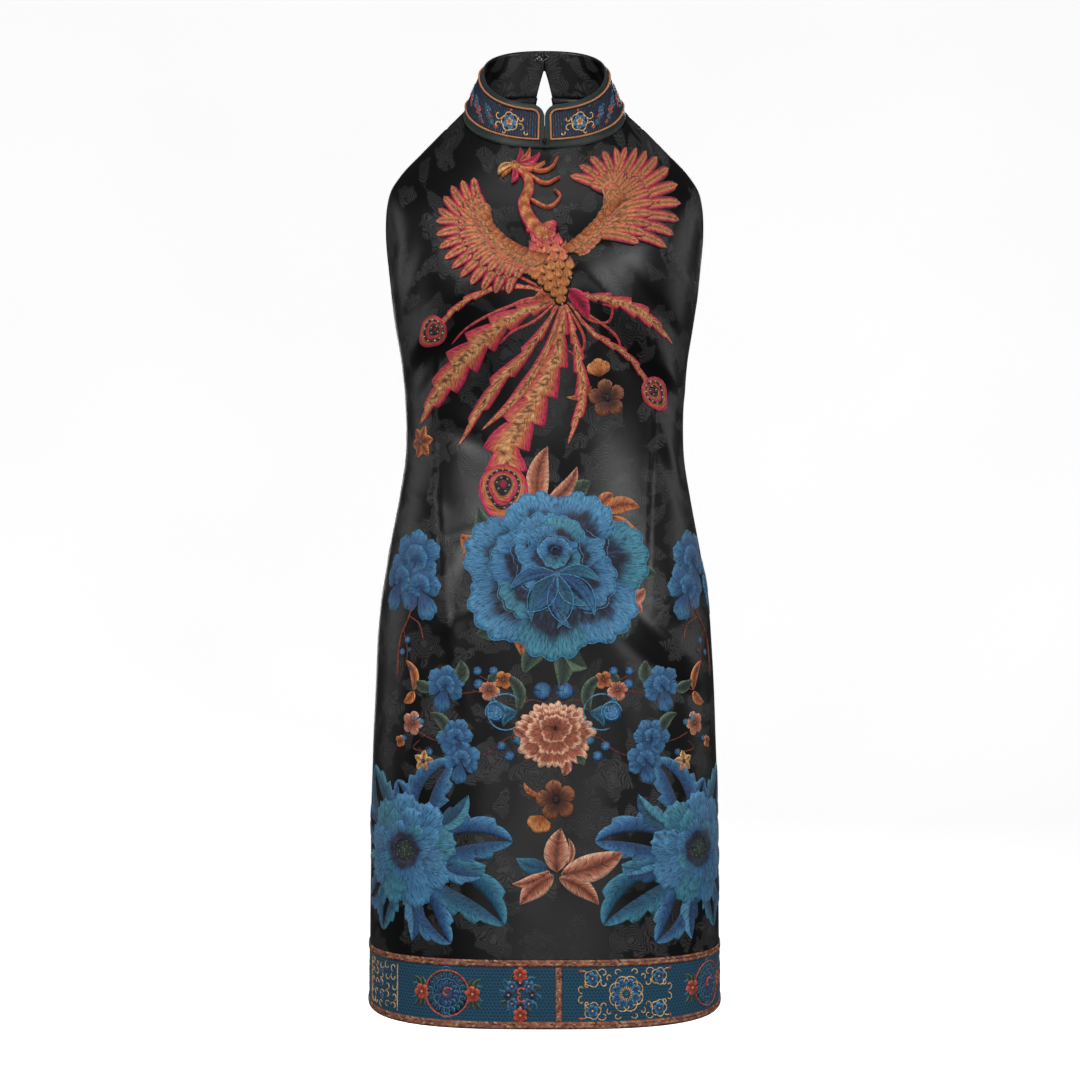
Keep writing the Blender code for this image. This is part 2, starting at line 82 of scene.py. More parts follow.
# The level camera. A pixel of the photograph is this much in the dress's middle plane.
CAMERA_PLACE = (-0.0045, -2.0, -0.42)
PHOTO_SIDE = 1080
PIXEL = 0.001
SENSOR = 36.0

# The rows that both panels share, from the hem border up to the bust: half width, the side seam's y,
# height, depths before and behind, and how square the section is before and behind.
BODY_ROWS = (
    (0.173, 0.002, -0.818, 0.12, 0.112, 2.9, 2.5),
    (0.1725, 0.002, -0.74, 0.119, 0.113, 2.85, 2.45),
    (0.1712, 0.002, -0.65, 0.117, 0.115, 2.75, 2.4),
    (0.168, 0.002, -0.56, 0.114, 0.118, 2.6, 2.35),
    (0.164, 0.002, -0.49, 0.111, 0.117, 2.5, 2.35),
    (0.156, 0.002, -0.435, 0.107, 0.108, 2.4, 2.3),
    (0.1455, 0.002, -0.38, 0.101, 0.096, 2.32, 2.25),
    (0.139, 0.002, -0.335, 0.098, 0.088, 2.28, 2.25),
    (0.1385, 0.002, -0.295, 0.1, 0.086, 2.28, 2.25),
    (0.1425, 0.002, -0.245, 0.11, 0.089, 2.34, 2.25),
    (0.1485, 0.003, -0.205, 0.122, 0.095, 2.44, 2.28),
    (0.153, 0.004, -0.172, 0.128, 0.1, 2.5, 2.3),
)

# Front rows above the underarm: the armhole edge, then the short shoulder seam. Each row is the
# side's x, y and z, the centre's y and z, the section's squareness, and degrees round to the side.
FRONT_YOKE_ROWS = (
    (0.156, 0.006, -0.146, -0.126, -0.146, 2.5, 90),
    (0.1557, -0.014, -0.137, -0.124, -0.139, 2.48, 84),
    (0.1556, -0.03, -0.124, -0.121, -0.13, 2.45, 78),
    (0.155, -0.04, -0.11, -0.117, -0.12, 2.42, 73),
    (0.1536, -0.045, -0.096, -0.112, -0.109, 2.38, 70),
    (0.15, -0.045, -0.08, -0.106, -0.098, 2.34, 68),
    (0.141, -0.039, -0.064, -0.099, -0.087, 2.3, 68),
    (0.12, -0.025, -0.038, -0.086, -0.067, 2.25, 70),
    (0.0955, -0.005, -0.008, -0.069, -0.048, 2.2, 90),
    (0.0815, 0.001, 0.006, -0.062, -0.04, 2.15, 90),
)

# Back rows above the underarm. The edge stays inside the front's, as seen from the front.
BACK_YOKE_ROWS = (
    (0.156, 0.006, -0.146, 0.103, -0.146, 2.3, 90),
    (0.15, 0.027, -0.13, 0.1045, -0.126, 2.28, 82),
    (0.142, 0.042, -0.106, 0.1045, -0.1, 2.25, 74),
    (0.132, 0.049, -0.08, 0.101, -0.072, 2.22, 68),
    (0.121, 0.046, -0.055, 0.095, -0.044, 2.2, 66),
    (0.109, 0.03, -0.03, 0.086, -0.014, 2.2, 68),
    (0.0955, -0.005, -0.008, 0.072, 0.018, 2.2, 90),
    (0.0815, 0.001, 0.006, 0.063, 0.036, 2.15, 90),
)

# The collar's upper edge as a panel row, before and behind.
COLLAR_TOP = ((0.0615, 0.0, 0.049, -0.052, 0.004, 2.15, 90.0),
              (0.0615, 0.0, 0.049, 0.053, 0.082, 2.45, 90.0))

# The hem's lower edge: half width, the side seam's y, heights at the sides and the middle, then
# depth and squareness before and behind.
HEM_EDGE = (0.1735, 0.002, -0.873, -0.88, 0.121, 2.95, 0.111, 2.55)

# Soft drag folds in millimetres: two ends seen from the front (x, z), half width, and height.
FRONT_FOLDS = (
    (30, -160, 138, -270, 11, 4.2),
    (20, -190, 128, -300, 12, -3),
    (-60, -170, -140, -240, 15, 3.2),
    (-52, -200, -128, -262, 10, -2.6),
    (-137, -90, -142, -230, 10, 2.8),
    (62, -470, 150, -545, 14, 3.8),
    (70, -505, 150, -575, 11, -2.8),
    (-72, -430, -108, -540, 18, 3),
    (118, -230, 126, -400, 12, 2.6),
    (-120, -300, -30, -345, 9, -2),
    (-60, -620, -85, -800, 22, 2.6),
    (60, -640, 78, -800, 24, 2.6),
    (10, -600, -4, -800, 20, -2.2),
)

# Finer creases that only the satin shows, with the same columns.
FRONT_CREASES = (
    (-132, -125, -146, -185, 5, 1.4),
    (-118, -150, -144, -215, 6, 1.6),
    (-100, -205, -143, -262, 7, 1.8),
    (-85, -232, -130, -292, 6, -1.4),
    (-104, -300, -136, -352, 6, 1.3),
    (-98, -395, -140, -372, 6, 1.4),
    (-60, -408, -110, -425, 7, -1.3),
    (-40, -470, -100, -508, 9, 2),
    (-95, -455, -72, -600, 8, 2.2),
    (118, -146, 150, -182, 6, 1.6),
    (78, -166, 140, -236, 6, -1.8),
    (88, -236, 137, -276, 6, 1.8),
    (100, -290, 128, -352, 6, 1.6),
    (108, -330, 136, -392, 5, -1.2),
    (96, -476, 158, -500, 8, 1.8),
    (82, -512, 142, -560, 8, 2.2),
    (100, -560, 128, -640, 10, 1.6),
    (-10, -690, 60, -780, 12, 1.4),
    (-150, -560, -128, -690, 10, -1.6),
    (140, -600, 152, -760, 12, 1.6),
)

BACK_FOLDS = (
    (40, -270, 130, -330, 14, 2.6),
    (30, -310, 120, -372, 12, -2.2),
    (50, -350, 136, -398, 12, 2.2),
    (60, -130, 125, -190, 16, 2.2),
    (85, -620, 95, -800, 24, 2.4),
)

# Waves along x and z in radians a metre, their start, and their height.
CRUMPLE_WAVES = (
    (61.0, 38.0, 0.4, 0.00034),
    (-47.0, 66.0, 1.9, 0.0003),
    (92.0, -57.0, 3.1, 0.00018),
    (-118.0, -83.0, 5.0, 0.00012),
)

DART_X = 0.1065
DART_LEAN = 0.055
DART_WAIST = -0.31
DART_TOP = -0.205
DART_FOOT = -0.49
DART_FADE = 0.03
DART_DEPTH = 0.001
DART_SPREAD = 0.0016
DART_PUCKER = 0.0115


class Cloth:
    """A piece's outer face as a fine grid, on which places are found by across and up."""

    def __init__(self, grid, share, reach, up):
        self.grid, self.share, self.reach, self.up = grid, share, reach, up
        self.normal = outward(grid)
        self.hand = -1.0 if facing_in(grid) else 1.0
        self.rows, self.columns = np.arange(len(up)), np.arange(len(share))

    def coordinates(self):
        """Across and up at every point of the grid, in metres."""
        across = self.reach[:, None] * self.share
        return across, self.up[:, None] + 0.0 * across

    def place(self, across, up, lift):
        """Points over the cloth at arrays of places, lifted off it along its normal."""
        row = np.interp(up, self.up, self.rows)
        column = np.interp(across / np.interp(row, self.rows, self.reach), self.share, self.columns)
        r = np.clip(row.astype(int), 0, len(self.up) - 2)
        c = np.clip(column.astype(int), 0, len(self.share) - 2)
        fr, fc = (row - r)[..., None], (column - c)[..., None]

        def between(values):
            low = values[r, c] * (1.0 - fc) + values[r, c + 1] * fc
            high = values[r + 1, c] * (1.0 - fc) + values[r + 1, c + 1] * fc
            return low * (1.0 - fr) + high * fr
        return between(self.grid) + between(self.normal) * lift[..., None]

    def seen(self, pixel_x, pixel_y):
        """The place on the cloth that the photograph shows at one of its pixels."""
        view = self.grid - np.array(CAMERA_PLACE)
        far = view[:, :, 1] / -CAMERA_PLACE[1]
        x = 0.5 * PHOTO_SIDE + view[:, :, 0] / far / PIXEL
        y = 0.5 * PHOTO_SIDE - view[:, :, 2] / far / PIXEL
        faces = (self.normal * view).sum(axis=2) < 0.0
        off = np.where(faces, np.hypot(x - pixel_x, y - pixel_y), np.inf)
        r, c = np.unravel_index(np.argmin(off), off.shape)
        r, c = min(max(r, 1), len(self.up) - 2), min(max(c, 1), len(self.share) - 2)
        to_x = (x[r, c + 1] - x[r, c - 1], x[r + 1, c] - x[r - 1, c])
        to_y = (y[r, c + 1] - y[r, c - 1], y[r + 1, c] - y[r - 1, c])
        miss_x, miss_y = pixel_x - x[r, c], pixel_y - y[r, c]
        turn = 0.5 * (to_x[0] * to_y[1] - to_x[1] * to_y[0])
        column = c + np.clip((miss_x * to_y[1] - miss_y * to_x[1]) / turn, -1.0, 1.0)
        row = r + np.clip((to_x[0] * miss_y - to_y[0] * miss_x) / turn, -1.0, 1.0)
        reach = np.interp(row, self.rows, self.reach)
        across = np.interp(column, self.columns, self.share) * reach
        return np.array((across, np.interp(row, self.rows, self.up)))

    def line(self, places, count):
        """A smooth line over the cloth through pixels of the photograph."""
        return line_through([self.seen(*place) for place in places], count)


def body_rows(facing):
    """The shared rows written as panel rows, for the front (-1) or the back (+1)."""
    half_width, seam_y, height, *pairs = np.array(BODY_ROWS).T
    depth, square = (pairs[0], pairs[2]) if facing < 0 else (pairs[1], pairs[3])
    upright = np.full(len(depth), 90.0)
    return np.column_stack((half_width, seam_y, height, facing * depth, height, square, upright))


def run_of(points):
    """Distances along a line of points. Only a point's first three columns are its place."""
    steps = np.linalg.norm(np.diff(points[:, :3], axis=0), axis=1)
    return np.concatenate(([0.0], np.cumsum(steps)))


def row_knots(rows):
    """Distances of the rows along the panel: along the side seam that both panels share up to the
    underarm, then halfway between the side's and the centre's own."""
    side, centre = np.diff(run_of(rows)), np.diff(run_of(rows[:, 3:5]))
    step = 0.5 * (side + centre)
    underarm = len(BODY_ROWS)
    step[:underarm] = side[:underarm]
    return np.concatenate(([0.0], np.cumsum(step)))


def smooth_rows(rows, places):
    """Rows at places from 0 to 1 along the panel, on a smooth curve through the given rows. The
    side edge turns a corner at the underarm and at the shoulder."""
    rows = np.asarray(rows, float)
    knots = row_knots(rows)
    arriving = np.gradient(rows, knots, axis=0)
    leaving = arriving.copy()
    chord = np.diff(rows, axis=0) / np.diff(knots)[:, None]
    for corner in (len(BODY_ROWS), len(rows) - 2):
        arriving[corner, 0:3] = chord[corner - 1, 0:3]
        leaving[corner, 0:3] = chord[corner, 0:3]
    arriving[-1, 0:3] = chord[-1, 0:3]
    at = np.asarray(places) * knots[-1]
    k = np.clip(np.searchsorted(knots, at, side="right") - 1, 0, len(knots) - 2)
    span = (knots[k + 1] - knots[k])[:, None]
    u = (at[:, None] - knots[k][:, None]) / span
    return ((2 * u**3 - 3 * u**2 + 1) * rows[k] + (u**3 - 2 * u**2 + u) * span * leaving[k]
            + (3 * u**2 - 2 * u**3) * rows[k + 1] + (u**3 - u**2) * span * arriving[k + 1])


def side_gap(row):
    """The gap beside a row's side edge, wider along the ridge of the shoulder."""
    shoulder = FRONT_YOKE_ROWS[-2][0]
    tip = (row[2] > FRONT_YOKE_ROWS[-2][2] - 0.0001) and (row[0] < shoulder + 0.0001)
    return 0.5 * (SHOULDER_GAP if tip else SEAM_GAP)


def quarter_section(row, samples=90):
    """Points of one row from the centre to its side, as part of a rounded square."""
    side_x, side_y, side_z, centre_y, centre_z, square, wrap = row
    angle = np.linspace(0.0, radians(wrap), samples)
    across, along = np.sin(angle), np.cos(angle)
    radius = (across**square + np.abs(along)**square) ** (-1.0 / square)
    across, along = across * radius, along * radius
    share = (along - along[-1]) / (1.0 - along[-1])
    return np.column_stack((side_x * across / across[-1],
                            side_y + (centre_y - side_y) * share,
                            side_z + (centre_z - side_z) * share))


def along_section(points, distances):
    """Points at distances along a row. Columns after the first three are carried along."""
    return np.column_stack([np.interp(distances, run_of(points), column) for column in points.T])


def section_length(points):
    return float(run_of(points)[-1])


def keyhole_half(height):
    """Half the keyhole's width at a height: a drop that closes in a round."""
    height = np.asarray(height, float)
    upper = np.clip((KEYHOLE_TOP - height) / (KEYHOLE_TOP - KEYHOLE_WIDEST), 0.0, 1.0)
    lower = np.clip((KEYHOLE_WIDEST - height) / (KEYHOLE_WIDEST - KEYHOLE_BOTTOM), 0.0, 1.0)
    half = KEYHOLE_HALF * np.sin(0.5 * pi * upper**0.9) * np.sqrt(1.0 - lower**2)
    return np.maximum(half, 0.5 * SEAM_GAP)


def fold_rise(x, z, folds):
    """How far folds lift the cloth at a place seen from the front."""
    rise = np.zeros(np.shape(x))
    for x0, z0, x1, z1, spread, height in np.array(folds) / 1000.0:
        dx, dz = x1 - x0, z1 - z0
        share = np.clip(((x - x0) * dx + (z - z0) * dz) / (dx * dx + dz * dz), 0.0, 1.0)
        away = np.hypot(x - x0 - share * dx, z - z0 - share * dz)
        swell = 0.35 + 0.65 * np.sin(pi * share)
        rise += height * swell * np.exp(-((away / spread) ** 2))
    return rise


def crumple(x, z):
    """The unevenness of hanging satin: a few long waves that cross."""
    return sum(height * np.sin(along * x + climb * z + start)
               for along, climb, start, height in CRUMPLE_WAVES)


def dart_rise(x, z):
    """Each waist dart, sunk between two puckered ridges."""
    rise = np.zeros(np.shape(x))
    for side in (-1.0, 1.0):
        middle = side * (DART_X - DART_LEAN * np.abs(z - DART_WAIST))
        away = x - middle
        inside = np.clip((DART_TOP - z) / DART_FADE, 0, 1) * np.clip((z - DART_FOOT) / DART_FADE, 0, 1)
        groove = -DART_DEPTH * np.exp(-((away / DART_SPREAD) ** 2))
        ridge = 0.45 * DART_DEPTH * np.exp(-((away / (3.2 * DART_SPREAD)) ** 2))
        pucker = 1.0 + 0.35 * np.sin(z * tau / DART_PUCKER)
        rise += (groove + ridge * pucker) * inside
    return rise


def unit(vectors):
    return vectors / (np.linalg.norm(vectors, axis=-1, keepdims=True) + 1e-12)


def grid_normals(grid):
    return unit(np.cross(np.gradient(grid, axis=1), np.gradient(grid, axis=0)))


def facing_in(grid):
    """True where the grid's own normals point towards the dress's axis."""
    return (grid_normals(grid) * grid * (1.0, 1.0, 0.0)).sum() < 0.0


def outward(grid):
    """A grid's unit normals, pointing away from the dress's axis."""
    return -grid_normals(grid) if facing_in(grid) else grid_normals(grid)


def mirrored(grid):
    """The same piece on the other side of the dress."""
    return grid * (-1.0, 1.0, 1.0)


SIDES = (("left", np.array), ("right", mirrored))


def panel_grid(places, share, start=None):
    """Points of a panel's rows at shares of the way from start to side edge, and the rows' lengths.
    Without a start, the rows are mirrored in the middle line."""
    grid, reach = [], []
    for row in places:
        section = quarter_section(row)
        reach.append(section_length(section) - side_gap(row))
        first = start(row) if start else 0.0
        line = along_section(section, first + share * (reach[-1] - first))
        grid.append(line if start else np.vstack((mirrored(line[:0:-1]), line)))
    return np.array(grid), np.array(reach)


def front_cloth(rows, half_columns):
    """The front's outer face, from side seam to side seam."""
    even = np.linspace(0.0, 1.0, rows + 1)
    places = smooth_rows(np.vstack((body_rows(-1), FRONT_YOKE_ROWS)), even)
    grid, reach = panel_grid(places, np.linspace(0.0, 1.0, half_columns + 1))
    share = np.linspace(-1.0, 1.0, 2 * half_columns + 1)
    x, z = grid[:, :, 0], grid[:, :, 2]
    loose = np.sin(pi * even)[:, None] ** 0.5 * (1.0 - np.abs(share) ** 6)
    rise = (fold_rise(x, z, FRONT_FOLDS) + fold_rise(x, z, FRONT_CREASES) + crumple(x, z)) * loose
    grid = grid + outward(grid) * (rise + dart_rise(x, z))[:, :, None]
    return Cloth(grid, share, reach, places[:, 4])


def back_places(rows):
    """The back's rows, closer together round the keyhole's foot."""
    table, fine = np.vstack((body_rows(1), BACK_YOKE_ROWS)), np.linspace(0.0, 1.0, 2001)
    drops = np.array((-0.0005, 0.0002, 0.0012, 0.003, 0.006, 0.0105))
    foot = np.interp(KEYHOLE_BOTTOM + drops, smooth_rows(table, fine)[:, 4], fine)
    kept = [p for p in np.linspace(0.0, 1.0, rows + 1) if np.abs(p - foot).min() > 0.4 / rows]
    return smooth_rows(table, np.sort(np.concatenate((kept, foot))))


def back_cloth(rows, columns):
    """The left back's outer face, from the centre seam and keyhole to the side."""
    share = np.linspace(0.0, 1.0, columns + 1)
    places = back_places(rows)
    grid, reach = panel_grid(places, share, lambda row: float(keyhole_half(row[4])))
    x, z = grid[:, :, 0], grid[:, :, 2]
    edge = (1.0 - share ** 6) * (1.0 - (1.0 - share) ** 6)
    taper = np.clip((KEYHOLE_BOTTOM - z) / 0.1, 0.0, 1.0)
    rise = (fold_rise(x, z, BACK_FOLDS) + crumple(x + 0.3, z)) * taper * edge
    return Cloth(grid + outward(grid) * rise[:, :, None], share, reach, places[:, 4])


def border_cloth(facing, low, high, rows, half_columns, span=None):
    """The hem border between two shares of its height, round one face or over a span of it."""
    half_width, seam_y, side_z, centre_z, *pairs = HEM_EDGE
    depth, square = pairs[:2] if facing < 0 else pairs[2:]
    edge = np.array((half_width, seam_y, side_z, facing * depth, centre_z, square, 90.0))
    seam = body_rows(facing)[0]
    seam[[2, 4]] = BORDER_TOP - SEAM_GAP
    levels = np.linspace(low, high, rows + 1)
    places = edge + (seam - edge) * levels[:, None]
    if span is None:
        share = np.linspace(-1.0, 1.0, 2 * half_columns + 1)
        grid, reach = panel_grid(places, share[half_columns:])
    else:
        share = np.linspace(*span, half_columns + 1) / panel_grid(places, np.array((0.0, 1.0)))[1][-1]
        grid, reach = panel_grid(places, share, lambda row: 0.0)
    return Cloth(grid, share, reach, BORDER_HEIGHT * levels)


def seam_braid_cloth(facing, rows, half_columns):
    """The surface under the braid that straddles the border's upper seam."""
    lifts = np.linspace(-0.5 * BRAID_WIDTH, 0.5 * BRAID_WIDTH, rows + 1)
    places = body_rows(facing)[0] + lifts[:, None] * (0, 0, 1, 0, 1, 0, 0)
    share = np.linspace(-1.0, 1.0, 2 * half_columns + 1)
    grid, reach = panel_grid(places, share[half_columns:])
    return Cloth(grid, share, reach, lifts)


def ring(front_row, back_row):
    """Half of a ring round the neck, from front centre to back centre."""
    return np.vstack((quarter_section(front_row), quarter_section(back_row)[-2::-1]))


NECK_RING = ring(FRONT_YOKE_ROWS[-1], BACK_YOKE_ROWS[-1])
COLLAR_TOP_RING = ring(*COLLAR_TOP)
NECK_LENGTH = section_length(NECK_RING)


def collar_point(distance, height):
    """A point on the collar's outer face, by its distance round and height."""
    share = distance / NECK_LENGTH
    foot, head = (along_section(line, [share * section_length(line)])[0]
                  for line in (NECK_RING, COLLAR_TOP_RING))
    return foot + (head - foot) * height / COLLAR_HEIGHT


def collar_upper_edge(distance, margin):
    """The collar's height at a distance from its rounded front corner."""
    inner = max(COLLAR_CORNER - margin, 0.004)
    run = np.clip((distance - margin) / inner, 0.0, 1.0)
    return COLLAR_HEIGHT - margin - inner * (1.0 - np.sqrt(1.0 - (1.0 - run) ** 2))


def collar_back_end(height, margin):
    """Distance round to the collar's back edge."""
    share = height / COLLAR_HEIGHT
    foot_z, head_z = BACK_YOKE_ROWS[-1][4], COLLAR_TOP[1][4]
    here = NECK_LENGTH + (section_length(COLLAR_TOP_RING) - NECK_LENGTH) * share
    opening = float(keyhole_half(foot_z + (head_z - foot_z) * share))
    return NECK_LENGTH * (1.0 - (opening + margin) / here)


def collar_stations(margin, count):
    """Shares of the way round the collar, closer together at its front corner."""
    corner = 1.0 - np.cos(np.linspace(0.0, 0.5 * pi, 6))
    corner = corner * (COLLAR_CORNER - 0.5 * margin) / NECK_LENGTH
    rest = np.linspace(corner[-1], 1.0, count - 4)[1:]
    return np.concatenate((corner, rest))


def collar_shape(foot, margin, rows, columns):
    """The collar's outer face inside a margin, with each point's distance round and height."""
    start, levels = 0.5 * SEAM_GAP + margin, np.linspace(0.0, 1.0, rows + 1)
    rows = []
    for level in levels:
        rows.append([])
        for share in collar_stations(margin, columns):
            guess = start + share * (collar_back_end(COLLAR_HEIGHT * level, margin) - start)
            height = foot + (collar_upper_edge(guess, margin) - foot) * level
            across = start + share * (collar_back_end(height, margin) - start)
            rows[-1].append((*collar_point(across, height), across, height))
    whole = np.array(rows)
    return whole[:, :, :3], whole[:, :, 3], whole[:, :, 4]


def collar_field(turn):
    """One side of the collar's outer face, for finding places on it."""
    share, up = np.linspace(0.0, 1.0, 61), np.linspace(0.0, COLLAR_HEIGHT, 13)
    grid = np.array([[collar_point(s * NECK_LENGTH, height) for s in share] for height in up])
    return Cloth(turn(grid), share, np.full(len(up), NECK_LENGTH), up)


def srgb(red, green, blue):
    """A screen's colour, 0 to 255, as a shader's linear values."""
    scaled = np.array((red, green, blue)) / 255.0
    linear = np.where(scaled <= 0.04045, scaled / 12.92, ((scaled + 0.055) / 1.055) ** 2.4)
    return (float(linear[0]), float(linear[1]), float(linear[2]), 1.0)


def maths_method(operation):
    """A method that adds a Math node."""
    return lambda value, *others: value.maths(operation, *others)


class Value:
    """A socket of a finish. Python's operators on it add Math nodes."""

    def __init__(self, finish, socket):
        self.finish, self.socket = finish, socket

    def maths(self, operation, *others):
        return self.finish.add("ShaderNodeMath", {"operation": operation}, [self, *others])

    def __rsub__(self, other):
        return self.finish.add("ShaderNodeMath", {"operation": "SUBTRACT"}, [other, self])

    def clamped(self):
        return self.maths("MAXIMUM", 0.0).maths("MINIMUM", 1.0)

    __add__ = __radd__ = maths_method("ADD")
    __mul__ = __rmul__ = maths_method("MULTIPLY")
    __sub__, __truediv__, __pow__ = map(maths_method, ("SUBTRACT", "DIVIDE", "POWER"))
    sine, cosine, size, whole = map(maths_method, ("SINE", "COSINE", "ABSOLUTE", "FLOOR"))


class Finish:
    """A material made of nodes, ending in one Principled BSDF."""

    def __init__(self, name, **fixed):
        self.material = bpy.data.materials.new(name)
        self.material.use_nodes = True
        self.tree = self.material.node_tree
        self.shader = self.tree.nodes["Principled BSDF"]
        for socket, value in fixed.items():
            self.shader.inputs[socket.replace("_", " ")].default_value = value

    def add(self, kind, settings=None, values=None, out=0):
        """A new node with its settings and its sockets' values or links."""
        node = self.tree.nodes.new(kind)
        for name, setting in (settings or {}).items():
            if name == "stops":
                ramp = node.color_ramp.elements
                while len(ramp) < len(setting):
                    ramp.new(0.5)
                for element, (position, colour) in zip(ramp, setting):
                    element.position, element.color = position, colour
            else:
                setattr(node, name, setting)
        items = values.items() if isinstance(values, dict) else enumerate(values or [])
        for key, value in items:
            if isinstance(value, Value):
                self.tree.links.new(value.socket, node.inputs[key])
            else:
                node.inputs[key].default_value = value
        return Value(self, node.outputs[out])

    def set(self, **links):
        """Links values to the shader's own sockets."""
        for socket, value in links.items():
            self.tree.links.new(value.socket, self.shader.inputs[socket.replace("_", " ")])
        return self.material

    def cloth(self):
        return self.add("ShaderNodeUVMap", {"uv_map": "cloth"})

    def place(self):
        return self.add("ShaderNodeTexCoord", out="Object")

    def attribute(self, name, out):
        return self.add("ShaderNodeAttribute", {"attribute_name": name}, out=out)

    def parts(self, vector):
        node = self.tree.nodes.new("ShaderNodeSeparateXYZ")
        self.tree.links.new(vector.socket, node.inputs[0])
        return [Value(self, socket) for socket in node.outputs]

    def join(self, x, y, z=0.0):
        return self.add("ShaderNodeCombineXYZ", values=[x, y, z])

    def scaled(self, vector, scale):
        return self.add("ShaderNodeVectorMath", {"operation": "SCALE"}, {0: vector, "Scale": scale})

    def noise(self, vector, scale, detail=2.0, out="Fac"):
        values = {"Vector": vector, "Scale": scale, "Detail": detail}
        return self.add("ShaderNodeTexNoise", values=values, out=out)

    def mixed(self, share, first, second):
        return self.add("ShaderNodeMix", {"data_type": "RGBA"}, {0: share, 6: first, 7: second}, out=2)

    def ramp(self, value, *stops):
        return self.add("ShaderNodeValToRGB", {"stops": stops}, [value])

    def surface(self, colour, roughness, height, distance, strength):
        values = {"Strength": strength, "Distance": distance, "Height": height}
        bump = self.add("ShaderNodeBump", values=values)
        return self.set(Base_Color=colour, Roughness=roughness, Normal=bump)


HATCH_PITCH = 0.0028
ROSETTE_PITCH = 0.058
LEAF_PITCH = 0.036
WEAVE_PITCH = 0.0006
WANDER = 0.55


def cell(finish, cloth, pitch, shift):
    """The place in the nearest of scattered cells, in pitches, and the cell's random number."""
    stray = finish.scaled(finish.noise(cloth, 2.4 / pitch, 2.0, "Color"), WANDER)
    scaled = finish.scaled(cloth, 1.0 / pitch)
    moved = finish.add("ShaderNodeVectorMath", {"operation": "ADD"}, [scaled, stray])
    moved = finish.add("ShaderNodeVectorMath", {"operation": "ADD"}, [moved, (shift, shift, 0.0)])
    spread = {"voronoi_dimensions": "2D"}
    values = {"Vector": moved, "Scale": 1.0, "Randomness": 0.72}
    centre = finish.add("ShaderNodeTexVoronoi", spread, values, out="Position")
    colour = finish.add("ShaderNodeTexVoronoi", spread, values, out="Color")
    x, y, _ = finish.parts(moved)
    cx, cy, _ = finish.parts(centre)
    return x - cx, y - cy, finish.parts(colour)[0]


def rosettes(finish, cloth):
    """Woven blossoms: lobed rounds filled with curved hatching."""
    x, y, chance = cell(finish, cloth, ROSETTE_PITCH, 3.0)
    away = (x * x + y * y) ** 0.5
    angle = y.maths("ARCTAN2", x)
    lobes = (angle * 6.0 + chance * 6.28).cosine()
    outline = lobes * 0.055 + 0.33
    inside = ((outline - away) * 26.0).clamped()
    hatch = (away * (tau * ROSETTE_PITCH / HATCH_PITCH) + lobes * 1.7).sine()
    heart = ((0.07 - away) * 40.0).clamped()
    return (inside * (hatch * 0.42 + 0.5) + heart).clamped()


def fern_leaves(finish, cloth):
    """Woven curved leaves, hatched aslant on both sides."""
    x, y, chance = cell(finish, cloth, LEAF_PITCH, 11.0)
    turn = chance * 6.28
    along = x * turn.cosine() + y * turn.sine()
    aside = y * turn.cosine() - x * turn.sine() + along * along * 0.8 - 0.06
    width = 0.21 - along * along * 1.15
    inside = ((width - aside.size()) * 24.0).clamped()
    hatch = ((along + aside.size() * 0.9) * (tau * LEAF_PITCH / HATCH_PITCH)).sine()
    return inside * (hatch * 0.46 + 0.5)


def weave(finish, cloth, pitch):
    x, y, _ = finish.parts(cloth)
    step = tau / pitch
    return (x * step + y * step * 0.5).sine() * (y * step).sine()


def black_satin():
    """Black satin with tone-on-tone blossoms and leaves woven into it; the figure's lighter grey is a painted
    sheen.
    """
    finish = Finish("black_jacquard_satin", Specular_IOR_Level=0.32)
    cloth = finish.cloth()
    figure = rosettes(finish, cloth).maths("MAXIMUM", fern_leaves(finish, cloth))
    # Large soft patches where the figure shows stronger or fainter: its painted sheen, with its roughness and
    # bump.
    patches = finish.noise(cloth, 9.0, 3.0)
    figure_sheen_patches = ((patches - 0.36) * 3.2).clamped()
    figure = figure * (figure_sheen_patches * 0.6 + 0.4)
    grain = finish.noise(cloth, 900.0, 1.0)
    # Painted sheen: the woven figure is coloured lighter grey than the black ground, in place of the light
    # that its floats catch.
    colour = finish.mixed(figure, srgb(9, 9, 10), srgb(70, 70, 71))
    colour = finish.mixed(grain * 0.25, colour, srgb(3, 3, 4))
    height = figure + weave(finish, cloth, WEAVE_PITCH) * 0.03 + grain * 0.1
    return finish.surface(colour, figure * 0.16 + grain * 0.06 + 0.32, height, 0.00014, 0.7)


def teal_satin():
    """The collar's margins: dark teal satin with a fine cross rib."""
    finish = Finish("dark_teal_satin", Specular_IOR_Level=0.5, Sheen_Weight=0.1)
    cloth = finish.cloth()
    rib = (finish.parts(cloth)[1] * (tau / 0.0011)).sine()
    mottle = finish.noise(cloth, 420.0, 2.0)
    colour = finish.mixed(mottle, srgb(8, 16, 16), srgb(32, 50, 46))
    return finish.surface(colour, mottle * 0.2 + 0.38, rib * 0.4 + mottle * 0.6, 0.00016, 0.8)


RIB_PITCH = 0.0029


